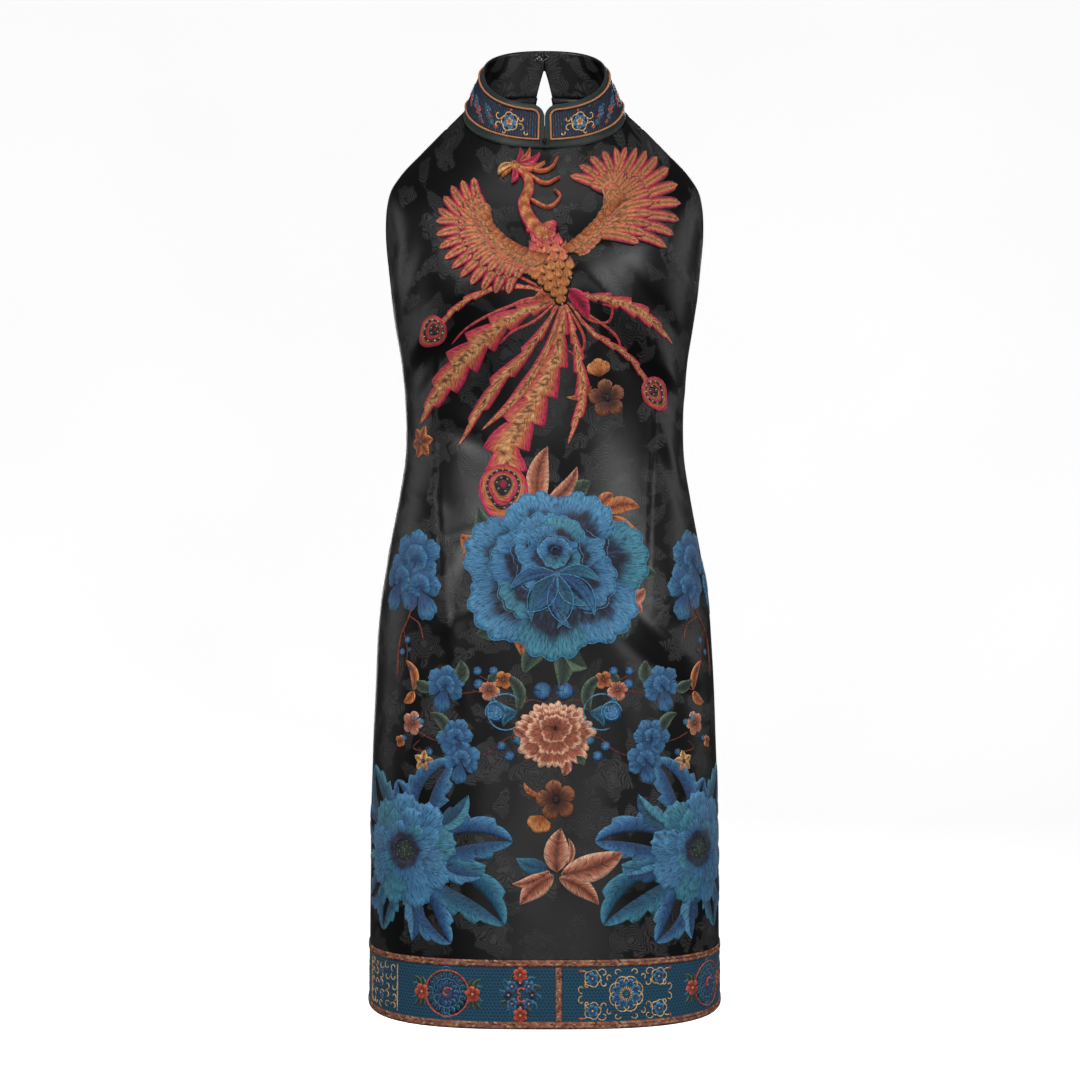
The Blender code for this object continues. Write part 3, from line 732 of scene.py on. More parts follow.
def ribbed_brocade():
    """The collar's inset: navy with upright ribs, painted lighter on their crests and darker between them,
    with paler flecks kept to the crests as painted glints.
    """
    finish = Finish("navy_ribbed_brocade", Specular_IOR_Level=0.4)
    cloth = finish.cloth()
    x, y, _ = finish.parts(cloth)
    rib = (x * (tau / RIB_PITCH)).sine() * 0.5 + 0.5
    stretched = finish.join(x * 900.0, y * 260.0)
    fleck = finish.noise(stretched, 1.0, 2.0)
    # Painted light and shade on the ribs: lighter on each crest and darker in each trough, as the bump rises
    # and falls; the paler flecks, kept to the crests, are painted glints.
    colour = finish.mixed(rib * 0.75, srgb(5, 7, 14), srgb(36, 48, 76))
    colour = finish.mixed(((fleck - 0.52) * 5.0).clamped() * rib, colour, srgb(84, 100, 124))
    return finish.surface(colour, 0.62 - rib * 0.14, rib + fleck * 0.4, 0.0004, 0.8)


COMB_PITCH = 0.0034
# A honeycomb's rows repeat at this many pitches.
COMB_ROWS = 1.732


def comb(x, y):
    """Distance to the nearest centre of a honeycomb, from 0 to about a half."""
    def to_lattice(shift):
        px = (x / COMB_PITCH + shift).maths("FLOORED_MODULO", 1.0) - 0.5
        py = (y / COMB_PITCH + shift * COMB_ROWS).maths("FLOORED_MODULO", COMB_ROWS) - 0.5 * COMB_ROWS
        return (px * px + py * py) ** 0.5
    return to_lattice(0.0).maths("MINIMUM", to_lattice(0.5))


def border_brocade():
    """The hem border: peacock blue with a small honeycomb woven over it."""
    finish = Finish("peacock_blue_brocade", Specular_IOR_Level=0.4, Sheen_Weight=0.1)
    cloth = finish.cloth()
    x, y, _ = finish.parts(cloth)
    ridge = comb(x, y)
    line = ((ridge - 0.36) * 7.0).clamped()
    threads = finish.noise(finish.join(x * 1800.0, y * 500.0), 1.0, 2.0)
    tone = finish.mixed(finish.noise(cloth, 30.0, 2.0), srgb(1, 50, 76), srgb(4, 72, 100))
    colour = finish.mixed(line * 0.8, tone, srgb(18, 96, 124))
    colour = finish.mixed(((0.16 - ridge) * 8.0).clamped() * 0.7, colour, srgb(2, 26, 46))
    colour = finish.mixed(threads * 0.4, colour, srgb(0, 30, 48))
    return finish.surface(colour, 0.64 - line * 0.16, line + threads * 0.35, 0.00025, 0.8)


BRAID_STITCH = 0.0027


def braid_phase(along, aside):
    """Where a point lies in the plait, whose stitches lean the other way on each side."""
    return along / BRAID_STITCH + abs(aside) / (0.55 * BRAID_WIDTH)


def braid_finish():
    """Flat braid, each stitch in its own shade of copper, brown, gold or red."""
    finish = Finish("copper_braid", Specular_IOR_Level=0.5, Metallic=0.25)
    along, aside, _ = finish.parts(finish.cloth())
    phase = along / BRAID_STITCH + aside.size() / (0.55 * BRAID_WIDTH)
    lane = (aside / (BRAID_WIDTH / 4.0)).whole()
    stitch = finish.join(phase.whole(), lane)
    chance = finish.add("ShaderNodeTexWhiteNoise", {"noise_dimensions": "2D"}, {"Vector": stitch})
    colour = finish.ramp(chance, (0.0, srgb(92, 54, 48)), (0.3, srgb(158, 92, 68)),
                         (0.55, srgb(196, 130, 92)), (0.75, srgb(136, 78, 74)), (1.0, srgb(222, 176, 130)))
    thread = finish.noise(finish.join(along * 3500.0, aside * 900.0), 1.0, 2.0)
    colour = finish.mixed(thread * 0.55, colour, srgb(70, 38, 34))
    groove = (phase * pi).sine().size()
    return finish.surface(colour, 0.55 - thread * 0.15, groove + thread * 0.5, 0.00025, 0.7)


def twisted_thread(name, dark, light):
    """Twisted cord: bright on the crests of its strands, dark between them."""
    finish = Finish(name, Specular_IOR_Level=0.5, Metallic=0.3)
    place = finish.place()
    fibre = finish.noise(place, 2600.0, 2.0)
    broad = finish.noise(place, 260.0, 1.0)
    colour = finish.mixed(fibre * 0.6 + broad * 0.4, dark, light)
    return finish.surface(colour, 0.5 - fibre * 0.12, fibre, 0.0002, 0.6)


STRAND_PITCH = 0.0009


def silk(name, gleam, metallic=0.0):
    """Embroidery thread, whose colour and run come with each stitched shape."""
    finish = Finish(name, Specular_IOR_Level=0.5, Metallic=metallic, Sheen_Weight=0.12)
    dye = finish.attribute("dye", "Color")
    across, along, chance = finish.parts(finish.attribute("stitch", "Vector"))
    strand = (across * (tau / STRAND_PITCH)).sine() * 0.5 + 0.5
    streak = finish.noise(finish.join(across * 950.0, along * 170.0, chance * 40.0), 1.0, 3.0)
    hair = finish.noise(finish.join(across * 2600.0, along * 420.0, chance * 17.0), 1.0, 2.0)
    # Painted shade and painted highlight: the dye is darkened in the gaps where the streaks sink and in the
    # dips of the fine hair noise, and lightened on the raised streaks, following the bump.
    gap = ((0.47 - streak) * 9.0).clamped()
    shine = ((streak - 0.53) * 7.0).clamped()
    colour = finish.mixed(gap * 0.74, dye, finish.scaled(dye, 0.2))
    colour = finish.mixed(shine * 0.55, colour, finish.scaled(dye, 1.9))
    colour = finish.mixed(((0.5 - hair) * 5.0).clamped() * 0.45, colour, finish.scaled(dye, 0.35))
    return finish.surface(colour, gap * 0.2 + hair * 0.1 + gleam,
                          strand * 0.3 + streak + hair * 0.5, 0.0005, 0.9)


def polished(name, colour, roughness):
    """Horn or glass, with a faint cloud in its colour and gloss."""
    finish = Finish(name, Specular_IOR_Level=0.7, Coat_Weight=0.6)
    cloud = finish.noise(finish.place(), 500.0, 2.0)
    shade = finish.mixed(cloud, colour, srgb(52, 44, 40))
    return finish.set(Base_Color=shade, Roughness=cloud * 0.12 + roughness)


def studio_paper():
    finish = Finish("studio_paper", Specular_IOR_Level=0.1, Emission_Strength=0.8)
    cloud = finish.noise(finish.place(), 1.5, 2.0)
    paper = finish.mixed(cloud, srgb(250, 250, 250), srgb(246, 246, 247))
    return finish.set(Base_Color=paper, Emission_Color=paper, Roughness=cloud * 0.1 + 0.85)


def placed(name, data):
    thing = bpy.data.objects.new(name, data)
    bpy.context.scene.collection.objects.link(thing)
    return thing


def riding(name, data):
    """An object in the scene that rides with the dress."""
    piece = placed(name, data)
    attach(piece, "root")
    return piece


def of_slot(piece, node=None):
    """Hides the frame's part for the node that a piece stands for, when a node is given."""
    if node:
        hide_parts(node)


def mesh_of(name, made, *finishes):
    mesh = bpy.data.meshes.new(name)
    made.to_mesh(mesh)
    made.free()
    mesh.shade_smooth()
    for finish in finishes:
        mesh.materials.append(finish)
    return mesh


def from_bmesh(name, made, *finishes):
    """A finished object from a bmesh, at the origin and riding with the dress."""
    return riding(name, mesh_of(name, made, *finishes))


def sheet_piece(name, grid, across, up, thick, grows, *finishes):
    """A grid with its cloth map, thickened in (-1) or out (+1). With two finishes, the second is
    the face towards the wearer."""
    if facing_in(grid):
        grid, across, up = grid[:, ::-1], across[:, ::-1], up[:, ::-1]
    rows, columns = grid.shape[0] - 1, grid.shape[1] - 1
    made = bmesh.new()
    bmesh.ops.create_grid(made, x_segments=columns, y_segments=rows, size=1.0)
    cloth_map = made.loops.layers.uv.new("cloth")
    where = {}
    for vert in made.verts:
        column = round((vert.co.x + 1.0) * 0.5 * columns)
        row = round((vert.co.y + 1.0) * 0.5 * rows)
        where[vert] = (across[row, column], up[row, column])
        vert.co = Vector(grid[row, column])
    for face in made.faces:
        for loop in face.loops:
            loop[cloth_map].uv = where[loop.vert]
    piece = from_bmesh(name, made, *finishes)
    wall = piece.modifiers.new("cloth thickness", "SOLIDIFY")
    wall.thickness = thick
    wall.offset = grows
    if len(finishes) > 1:
        wall.material_offset = 1
    return piece


def round_cord(name, path, radius, finish, closed=False, sides=1):
    """Cord along a path, as a curve with a round bevel."""
    curve = bpy.data.curves.new(name, "CURVE")
    curve.dimensions = "3D"
    curve.bevel_depth = radius
    curve.bevel_resolution = sides
    curve.use_fill_caps = not closed
    spline = curve.splines.new("POLY")
    spline.points.add(len(path) - 1)
    for point, place in zip(spline.points, path):
        point.co = (*place, 1.0)
    spline.use_cyclic_u = closed
    curve.materials.append(finish)
    return riding(name, curve)


def evenly(path, step, closed=False):
    """Points at even steps along a path."""
    path = np.asarray(path)
    if closed:
        path = np.vstack((path, path[:1]))
    length = section_length(path)
    even = along_section(path, np.linspace(0.0, length, max(round(length / step), 2) + 1))
    return even[:-1] if closed else even


def twist(path, normal, radius, pitch, start):
    """A strand wound round a closed path from a start angle."""
    ahead = unit(np.roll(path, -1, axis=0) - np.roll(path, 1, axis=0))
    side = unit(np.cross(ahead, normal))
    rise = np.cross(side, ahead)
    run = run_of(path)
    turns = max(round(run[-1] / pitch), 1)
    angle = (start + tau * turns * run / (2.0 * run[-1] - run[-2]))[:, None]
    return path + radius * (np.cos(angle) * side + np.sin(angle) * rise)


PANEL_ROWS = 210
HALF_PANEL_COLUMNS = 78
BACK_PANEL_ROWS = 138
BACK_PANEL_COLUMNS = 62
BORDER_ROWS = 24
BORDER_COLUMNS = 110


def make_panels(front, back, satin):
    """The satin itself: one front and two backs, each a thin hanging sheet."""
    piece = sheet_piece("front_satin", front.grid, *front.coordinates(), CLOTH_THICK, -1.0, satin)
    of_slot(piece, "front_panel")
    for side, turn in SIDES:
        panel = sheet_piece("back_satin_" + side, turn(back.grid), *back.coordinates(),
                            CLOTH_THICK, -1.0, satin)
        of_slot(panel, "back_panel_" + side)


BINDING_RADIUS = 0.0012


def make_bindings(front, back, satin):
    """The rolled edges of the armholes and the keyhole, and the seams between panels."""
    def edge_line(cloth, column, rows):
        return cloth.grid[rows, column] - cloth.normal[rows, column] * 0.5 * CLOTH_THICK
    armhole = [edge_line(cloth, -1, (-0.145 < cloth.grid[:, -1, 2]) & (cloth.grid[:, -1, 2] < -0.0085))
               for cloth in (front, back)]
    armhole = evenly(np.vstack((armhole[0], armhole[1][::-1])), 0.004)
    drop = evenly(edge_line(back, 0, back.up > KEYHOLE_BOTTOM), 0.003)
    side_edge = front.grid[front.grid[:, -1, 2] < -0.143, -1]
    hem = border_cloth(-1, 0.0, 1.0, BORDER_ROWS, 2)
    seam = evenly(np.vstack((hem.grid[:, -1], side_edge)) - (0.0008, 0.0, 0.0), 0.004)
    shoulder = edge_line(front, -1, front.grid[:, -1, 2] > -0.0115) + (0.0, 0.5 * SHOULDER_GAP, 0.0)
    centre = edge_line(back, 0, back.up < KEYHOLE_BOTTOM + 0.001) * (0.0, 1.0, 1.0)
    centre = round_cord("centre_seam", evenly(centre, 0.006), 0.0006, satin, sides=2)
    of_slot(centre)
    for side, turn in SIDES:
        for name, path, radius in (("armhole_binding_", armhole, BINDING_RADIUS),
                                   ("keyhole_binding_", drop, BINDING_RADIUS),
                                   ("side_seam_", seam, 0.0006), ("shoulder_seam_", shoulder, 0.0009)):
            piece = round_cord(name + side, turn(path), radius, satin, sides=2)
            of_slot(piece)


COLLAR_ROWS = 16
COLLAR_COLUMNS = 110


def make_collar(teal, satin, brocade, copper):
    """Both halves of the collar: stand, brocade inset and twisted cord."""
    stand = collar_shape(COLLAR_FOOT_GAP, 0.0, COLLAR_ROWS, COLLAR_COLUMNS)
    panel_margin = COLLAR_MARGIN + CORD_RADIUS + SEAM_GAP
    panel_foot = COLLAR_FOOT_MARGIN + CORD_RADIUS + SEAM_GAP
    inset = collar_shape(panel_foot, panel_margin, COLLAR_ROWS, COLLAR_COLUMNS)
    edge = collar_shape(COLLAR_FOOT_MARGIN, COLLAR_MARGIN, 8, 60)[0]
    edge = np.dstack((edge, outward(edge)))
    loop = np.vstack((edge[0, :-1], edge[:-1, -1], edge[-1, :0:-1], edge[:0:-1, 0]))
    loop = evenly(loop, 0.0006, closed=True)
    loop, ways = loop[:, :3] + loop[:, 3:] * (LAID_GAP + CORD_RADIUS), loop[:, 3:]
    middle = stand[0] - outward(stand[0]) * 0.5 * COLLAR_THICK
    slit = middle[middle[:, -1, 2] > KEYHOLE_TOP - 0.003, -1]
    seams = (("neck_seam_", evenly(middle[0], 0.003)), ("back_seam_", slit * (0.0, 1.0, 1.0)),
             ("front_seam_", stand[0][:-5, 0] * (0.0, 1.0, 1.0) + middle[:-5, 0] - stand[0][:-5, 0]))
    for side, turn in SIDES:
        wall = sheet_piece("collar_stand_" + side, turn(stand[0]), *stand[1:], COLLAR_THICK, -1.0,
                           teal, satin)
        of_slot(wall, "collar_" + side)
        face = turn(inset[0])
        panel = sheet_piece("collar_brocade_" + side, face + outward(face) * LAID_GAP, *inset[1:],
                            INSET_THICK, 1.0, brocade)
        of_slot(panel, "collar_inset_" + side)
        for name, path in seams:
            of_slot(round_cord(name + side, turn(path), 0.0007, satin))
        for strand, start in (("first", 0.0), ("second", pi)):
            wound = twist(turn(loop), turn(ways), 0.45 * CORD_RADIUS, 0.0042, start)
            piece = round_cord("collar_cord_%s_%s" % (strand, side), wound, 0.58 * CORD_RADIUS,
                               copper, closed=True)
            of_slot(piece, "collar_cord_" + side)


BRAID_RISE = 0.0008
BRAID_SAMPLE = 0.0006
# How many steps lie across a braid, and along the short upright one.
BRAID_LANES = 8
DIVIDER_STEPS = 110


def braid_piece(name, node, cloth, braid, upright=False):
    """Braid over a stretch of cloth: two lanes of slanted stitches."""
    aside, along = cloth.coordinates() if upright else cloth.coordinates()[::-1]
    aside = aside - 0.5 * (aside.min() + aside.max())
    stitch = np.abs(np.sin(pi * braid_phase(along, aside))) ** 0.6
    lane = np.minimum(np.abs(np.sin(tau * aside / BRAID_WIDTH)) * 2.0, 1.0)
    edge = 1.0 - np.abs(aside / aside.max()) ** 6
    lift = LAID_GAP + 0.0003 + BRAID_RISE * (0.45 + 0.55 * stitch * lane) * edge
    face = cloth.grid + cloth.normal * lift[:, :, None]
    of_slot(sheet_piece(name, face, along, aside, 0.0005, -1.0, braid), node)


def make_border(brocade, braid):
    """The hem's brocade band, with its braids."""
    columns = int(0.27 / BRAID_SAMPLE)
    for facing, face in ((-1, "front"), (1, "back")):
        band = border_cloth(facing, 0.0, 1.0, BORDER_ROWS, BORDER_COLUMNS)
        piece = sheet_piece("border_brocade_" + face, band.grid, *band.coordinates(), CLOTH_THICK,
                            -1.0, brocade)
        of_slot(piece, "border_" + face)
        seam = seam_braid_cloth(facing, BRAID_LANES, columns)
        braid_piece("seam_plait_" + face, "seam_braid_" + face, seam, braid)
        hem = border_cloth(facing, *HEM_BRAID_LEVELS, BRAID_LANES, columns)
        braid_piece("hem_plait_" + face, "hem_braid_" + face, hem, braid)
    foot = HEM_BRAID_LEVELS[1] + SEAM_GAP / BORDER_HEIGHT
    head = 1.0 - (0.5 * BRAID_WIDTH + SEAM_GAP) / BORDER_HEIGHT
    span = (DIVIDER_X - 0.5 * BRAID_WIDTH, DIVIDER_X + 0.5 * BRAID_WIDTH)
    divider = border_cloth(-1, foot, head, DIVIDER_STEPS, BRAID_LANES, span)
    braid_piece("divider_plait", "border_divider", divider, braid, True)


def spun(profile, segments, join):
    """A profile of (radius, height) spun round the upright through the origin."""
    made = bmesh.new()
    verts = [made.verts.new((radius, 0.0, height)) for radius, height in profile]
    edges = [made.edges.new(pair) for pair in zip(verts, verts[1:])]
    bmesh.ops.spin(made, geom=verts + edges, cent=(0, 0, 0), axis=(0, 0, 1), angle=tau,
                   steps=segments, use_merge=True)
    bmesh.ops.remove_doubles(made, verts=made.verts, dist=join)
    bmesh.ops.recalc_face_normals(made, faces=made.faces)
    return made


def make_fastening(horn):
    """The rimmed button inside the back of the neck, and its cord loop."""
    stand = collar_shape(COLLAR_FOOT_GAP, 0.0, 5, 24)[0]
    edge = stand[:, -1]
    out = outward(stand)[:, -1].mean(axis=0)
    out = Vector((0.0, out[1], out[2])).normalized()
    face = Vector((0.0, *(np.interp(NECK_BUTTON_HEIGHT, edge[:, 2], edge[:, i]) for i in (1, 2))))
    seat = face - out * (COLLAR_THICK + LAID_GAP) + Vector((NECK_BUTTON_X, 0.0, 0.0))
    r = NECK_BUTTON_RADIUS
    profile = ((0.0, 0.0), (0.8 * r, 0.0), (0.97 * r, 0.0005), (r, 0.0011), (0.96 * r, 0.0019),
               (0.86 * r, 0.0024), (0.76 * r, 0.0022), (0.68 * r, 0.0016), (0.4 * r, 0.00135),
               (0.0, 0.00125))
    made = spun(profile, 48, 0.00002)
    turn = (-out).to_track_quat("Z", "Y").to_matrix()
    for vert in made.verts:
        vert.co = turn @ vert.co + seat
    of_slot(from_bmesh("horn_button", made, horn), "neck_button")
    middle = seat - out * 0.0009
    up = Vector((1.0, 0.0, 0.0)).cross(out).normalized()
    path = arc((0.0, 0.0), r + 0.0008, radians(38.0), radians(322.0), 60)
    path = np.vstack((path, ((0.0088, -0.001), (0.0088, 0.001))))
    path = [tuple(middle + Vector((x, 0.0, 0.0)) + up * y) for x, y in path.tolist()]
    loop = round_cord("button_loop", path, 0.0006, horn, closed=True, sides=2)
    of_slot(loop, "neck_loop")


BALL_RADIUS = 0.0029


def make_front_knot(satin):
    """The ball knot of satin cord: three interlaced rounds over a small core."""
    centre = Vector(np.mean(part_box("front_knot"), axis=0))
    made = bmesh.new()
    bmesh.ops.create_icosphere(made, subdivisions=3, radius=0.78 * BALL_RADIUS)
    for vert in made.verts:
        vert.co += centre
    of_slot(from_bmesh("knot_core", made, satin), "front_knot")
    for name, axis in (("first", (1, 0, 0.25)), ("second", (0.2, 0.3, 1)), ("third", (0.6, 1, -0.5))):
        turn = Vector(axis).to_track_quat("Z", "Y").to_matrix()
        radius = 0.8 * BALL_RADIUS + 0.00025 * np.cos(3.0 * np.linspace(0.0, tau, 33))
        path = [tuple(centre + turn @ Vector((x, y, 0.0)))
                for x, y in arc((0.0, 0.0), radius, 0.0, tau, 33)[:-1].tolist()]
        piece = round_cord("knot_round_" + name, path, 0.19 * BALL_RADIUS, satin, closed=True, sides=2)
        of_slot(piece)


# Silk threads: the dye in a hollow, on the body of a shape, and where the light catches it.
THREADS = {
    "blue": ((6, 26, 58), (24, 80, 130), (82, 150, 190)),
    "sea": ((4, 34, 56), (16, 84, 116), (74, 150, 172)),
    "ink": ((6, 9, 24), (18, 32, 62), (54, 80, 124)),
    "copper": ((88, 36, 18), (178, 92, 46), (236, 164, 102)),
    "amber": ((70, 28, 12), (164, 80, 34), (236, 160, 88)),
    "crimson": ((84, 4, 28), (184, 18, 66), (236, 74, 114)),
    "coral": ((110, 34, 26), (188, 84, 52), (238, 148, 98)),
    "rose": ((70, 26, 18), (172, 94, 68), (240, 186, 154)),
    "brown": ((34, 15, 10), (92, 46, 28), (164, 98, 60)),
    "green": ((12, 24, 22), (38, 60, 50), (112, 134, 104)),
    "gold": ((112, 64, 24), (200, 138, 78), (248, 212, 150)),
    "stem": ((48, 13, 10), (98, 34, 24), (158, 74, 50)),
    "red_gold": ((84, 16, 12), (176, 54, 38), (228, 118, 82)),
    "black": ((3, 3, 5), (9, 9, 11), (38, 38, 42)),
}

ROOTED = 0.0002


def shade(threads, light):
    """A thread's dye at shares of light, from its hollows to its crests."""
    deep, body, bright = (np.array(srgb(*dye)[:3]) for dye in THREADS[threads])
    light = np.clip(light, 0.0, 1.0)[..., None]
    return deep + (body - deep) * np.minimum(2.0 * light, 1.0) \
        + (bright - body) * np.maximum(2.0 * light - 1.0, 0.0)


def blend(share, first, second):
    share = np.clip(share, 0.0, 1.0)[..., None]
    return first + (second - first) * share


def graded(threads, foot, rise=0.0, fall=0.0, power=3.0, bend=1.0):
    """Dye that lightens from a shape's foot and darkens towards its sides."""
    return lambda s, t: shade(threads, foot + rise * s ** bend - fall * np.abs(t) ** power)


def toward(angle):
    return np.array((cos(angle), sin(angle)))


def around(count, start=0.0):
    """Equally spaced angles all round from a start."""
    return [start + tau * i / count for i in range(count)]


def arc(centre, radius, start, end, count):
    """Points round a centre. Each may have its own radius."""
    angle = np.linspace(start, end, count)
    return np.column_stack((np.cos(angle), np.sin(angle))) * np.reshape(radius, (-1, 1)) + centre


def line_through(places, count):
    """A smooth line through places, in even steps."""
    places = np.array(places, float)
    ends = np.vstack((2.0 * places[0] - places[1], places, 2.0 * places[-1] - places[-2]))
    t = np.linspace(0.0, 1.0, 17)[:-1, None]
    line = [0.5 * (2.0 * b + (c - a) * t + (2.0 * a - 5.0 * b + 4.0 * c - d) * t * t
                   + (3.0 * b - a - 3.0 * c + d) * t ** 3)
            for a, b, c, d in zip(ends, ends[1:], ends[2:], ends[3:])]
    line = np.vstack((*line, places[-1]))
    return along_section(line, np.linspace(0.0, section_length(line), count))


def bent(foot, tip, bend, count):
    """A line that bows to its left by a share of its length."""
    foot, tip = np.asarray(foot, float), np.asarray(tip, float)
    s = np.linspace(0.0, 1.0, count)[:, None]
    left = np.array((foot[1] - tip[1], tip[0] - foot[0]))
    return foot + (tip - foot) * s + left * bend * 4.0 * s * (1.0 - s)


def blade(count, fullest, roundness=1.7):
    """A leaf's half width along it, as shares: all of it at its fullest place."""
    s = np.linspace(0.0, 1.0, count)
    rise = (s / fullest) ** (fullest * roundness)
    return rise * ((1.0 - s) / (1.0 - fullest)) ** ((1.0 - fullest) * roundness)


def toothed(count, teeth, depth):
    """Factors that cut an edge into teeth."""
    s = np.linspace(0.0, 1.0, count) * teeth
    return 1.0 - depth + depth * (s % 1.0) ** 0.8


class Needlework:
    """Stitched shapes on a cloth, gathered into one piece."""

    def __init__(self, cloth, seed):
        self.cloth = cloth
        self.made = bmesh.new()
        self.dye = self.made.verts.layers.float_color.new("dye")
        self.stitch = self.made.verts.layers.float_vector.new("stitch")
        self.chance = np.random.default_rng(seed)

    def patch(self, s, t, across, up, rise, colour, run_across, run_along):
        """Stitches over a grid: its places on the cloth, their rise, their dye at shares along (s)
        and across (t), and how the thread runs. A rim goes down into the cloth."""
        across, up, *others = np.broadcast_arrays(across, up, rise, run_across, run_along, s, t)
        dye = colour(*others[3:]) + np.zeros((*across.shape, 3))
        way = (np.diff(across[:-1], axis=1) * np.diff(up[:, :-1], axis=0)
               - np.diff(across[:, :-1], axis=0) * np.diff(up[:-1], axis=1)).sum() * self.cloth.hand
        layers = np.dstack((across, up, *others[:3], dye))[:, ::-1 if way < 0.0 else 1]
        layers = np.pad(layers, ((1, 1), (1, 1), (0, 0)), mode="edge")
        lift = np.full(layers.shape[:2], -ROOTED)
        lift[1:-1, 1:-1] = layers[1:-1, 1:-1, 2]
        rows, columns = lift.shape
        number, tint = float(self.chance.random()), 0.92 + 0.16 * float(self.chance.random())
        points = self.cloth.place(layers[..., 0], layers[..., 1], lift).tolist()
        run, dye = layers[..., 3:5].tolist(), (layers[..., 5:] * tint).tolist()
        grid = bmesh.ops.create_grid(self.made, x_segments=columns - 1, y_segments=rows - 1, size=1.0)
        for vert in grid["verts"]:
            column = round((vert.co.x + 1.0) * 0.5 * (columns - 1))
            row = round((vert.co.y + 1.0) * 0.5 * (rows - 1))
            vert.co = points[row][column]
            vert[self.dye] = (*dye[row][column], 1.0)
            vert[self.stitch] = (*run[row][column], number)

    def ribbon(self, line, left, right, base, crown, colour, columns=6, slant=0.6):
        """A band along a line, with its half widths. The thread leans from the middle by a slant."""
        ahead = unit(np.gradient(line, axis=0))
        t = np.linspace(-1.0, 1.0, columns + 1)
        s = np.linspace(0.0, 1.0, len(line))[:, None]
        aside = np.where(t < 0.0, left[:, None], right[:, None]) * t
        rise = base + crown * (1.0 - np.abs(t) ** 4) * np.clip(12.0 * s * (1.0 - s), 0.25, 1.0)
        run, (lean_x, lean_y) = run_of(line)[:, None], toward(slant)
        self.patch(s, t, line[:, :1] + ahead[:, 1:] * aside, line[:, 1:] - ahead[:, :1] * aside, rise, colour,
                   run * lean_x - np.abs(aside) * lean_y, run * lean_y + np.abs(aside) * lean_x)

    def fan(self, centre, turn, inner, outer, spread, base, crown, colour, lobes=1.0, scallop=0.0,
            droop=0.3, rows=7, columns=12, squash=1.0):
        """A petal: a fan round a centre, whose edge has lobes and droops at the sides."""
        t = np.linspace(-1.0, 1.0, columns + 1)
        s = np.linspace(0.0, 1.0, rows + 1)[:, None]
        angle = turn + spread * t
        wave = np.abs(np.cos(0.5 * pi * lobes * t))
        edge = outer * (1.0 - droop * np.abs(t) ** 2.6) * (1.0 + scallop * (wave - 0.6))
        radius = inner + (edge - inner) * s
        across = centre[0] + radius * np.cos(angle)
        up = centre[1] + radius * np.sin(angle) * squash
        rise = base + crown * np.sin(pi * (0.12 + 0.8 * s)) * (1.0 - 0.6 * np.abs(t) ** 4)
        self.patch(s, t, across, up, rise, colour, angle * 0.6 * (outer + inner), radius)
        return np.column_stack((across[-1], up[-1]))

    def cord(self, line, radius, base, threads, light=0.6, slant=1.0):
        """A fine line of stitches."""
        half = np.full(len(line), radius)
        half[[0, -1]] = 0.35 * radius
        self.ribbon(line, half, half, base, 0.9 * radius,
                    lambda s, t: shade(threads, light + 0.25 * np.cos(0.5 * pi * t) - 0.2), 3, slant)

    def leaf(self, foot, tip, width, bend, threads, style="veined", teeth=0, base=0.00025, rim=0.9):
        """A leaf or a pointed petal."""
        count = 6 * teeth + 1 if teeth else 15
        line = bent(foot, tip, bend, count)
        half = 0.5 * width * blade(count, 0.42)
        if teeth:
            half = half * toothed(count, teeth, 0.3)

        def colour(s, t):
            light = {"veined": 0.22 + (rim - 0.22) * np.abs(t) ** 1.2,
                     "plain": 0.3 + 0.45 * s,
                     "split": 0.28 + 0.5 * (t > 0.0) + 0.15 * s}[style]
            vein = (np.abs(t) < 0.1) & (s < 0.88)
            return blend(0.75 * vein, shade(threads, light), shade(threads, 0.05))
        self.ribbon(line, half, half, base, 0.0005, colour, 8, 0.75)

    def round(self, centre, radius, base, crown, threads, light=0.75, squash=1.0):
        """A small dome: a berry, a bud or a flower's heart."""
        t = np.linspace(-1.0, 1.0, 13)
        s = np.linspace(0.0, 1.0, 5)[:, None]
        x, y = radius * s * np.cos(pi * t), radius * s * np.sin(pi * t) * squash
        self.patch(s, t, centre[0] + x, centre[1] + y, base + crown * (1.0 - s ** 2),
                   lambda s, t: shade(threads, light - 0.55 * s ** 3), x, y)

    def blossom(self, centre, radius, turn, threads, petals=5, heart="brown", base=0.0003,
                inner_light=0.25, outer_light=0.85, overlap=1.06, pointed=False, scallop=0.0):
        """An open flower round a small heart."""
        colour = graded(threads, inner_light, outer_light - inner_light, 0.18, 5, 1.3)
        for i, angle in enumerate(around(petals, turn)):
            way = toward(angle)
            if pointed:
                self.leaf(centre + way * 0.1 * radius, centre + way * radius, 0.66 * radius, 0.0, threads,
                          base=base)
            else:
                self.fan(centre, angle, 0.12 * radius, radius, overlap * pi / petals,
                         base + 0.00006 * (i % 2), 0.0005, colour, 1.0 + 2.0 * (scallop > 0), scallop, 0.36,
                         rows=5, columns=8)
        self.round(centre, 0.2 * radius, base + 0.0004, 0.0003, heart)

    def finished(self, name, slot, finish):
        """The gathered shapes as one piece."""
        of_slot(from_bmesh(name, self.made, finish))


# The upright line that the skirt's sprays mirror in, in pixels of the photograph.
SPRAY_AXIS = 553.5

# The peony's rings from the outside in: petals, inner and outer radius, turn in degrees, offset of the
# centre, where its hollow ends as a share of the petal, and the light on its rim.
PEONY_PLACE = (554.0, 568.0)
PEONY_RINGS = (
    (7, 0.02, 0.086, 10.0, (0.002, -0.001), 0.7, 0.92),
    (6, 0.016, 0.059, 42.0, (-0.004, -0.002), 0.66, 0.84),
    (5, 0.01, 0.042, 6.0, (0.001, 0.008), 0.62, 0.9),
    (5, 0.006, 0.0285, 50.0, (0.0, 0.013), 0.56, 0.82),
    (3, 0.002, 0.0165, 30.0, (0.001, 0.016), 0.4, 0.92),
)


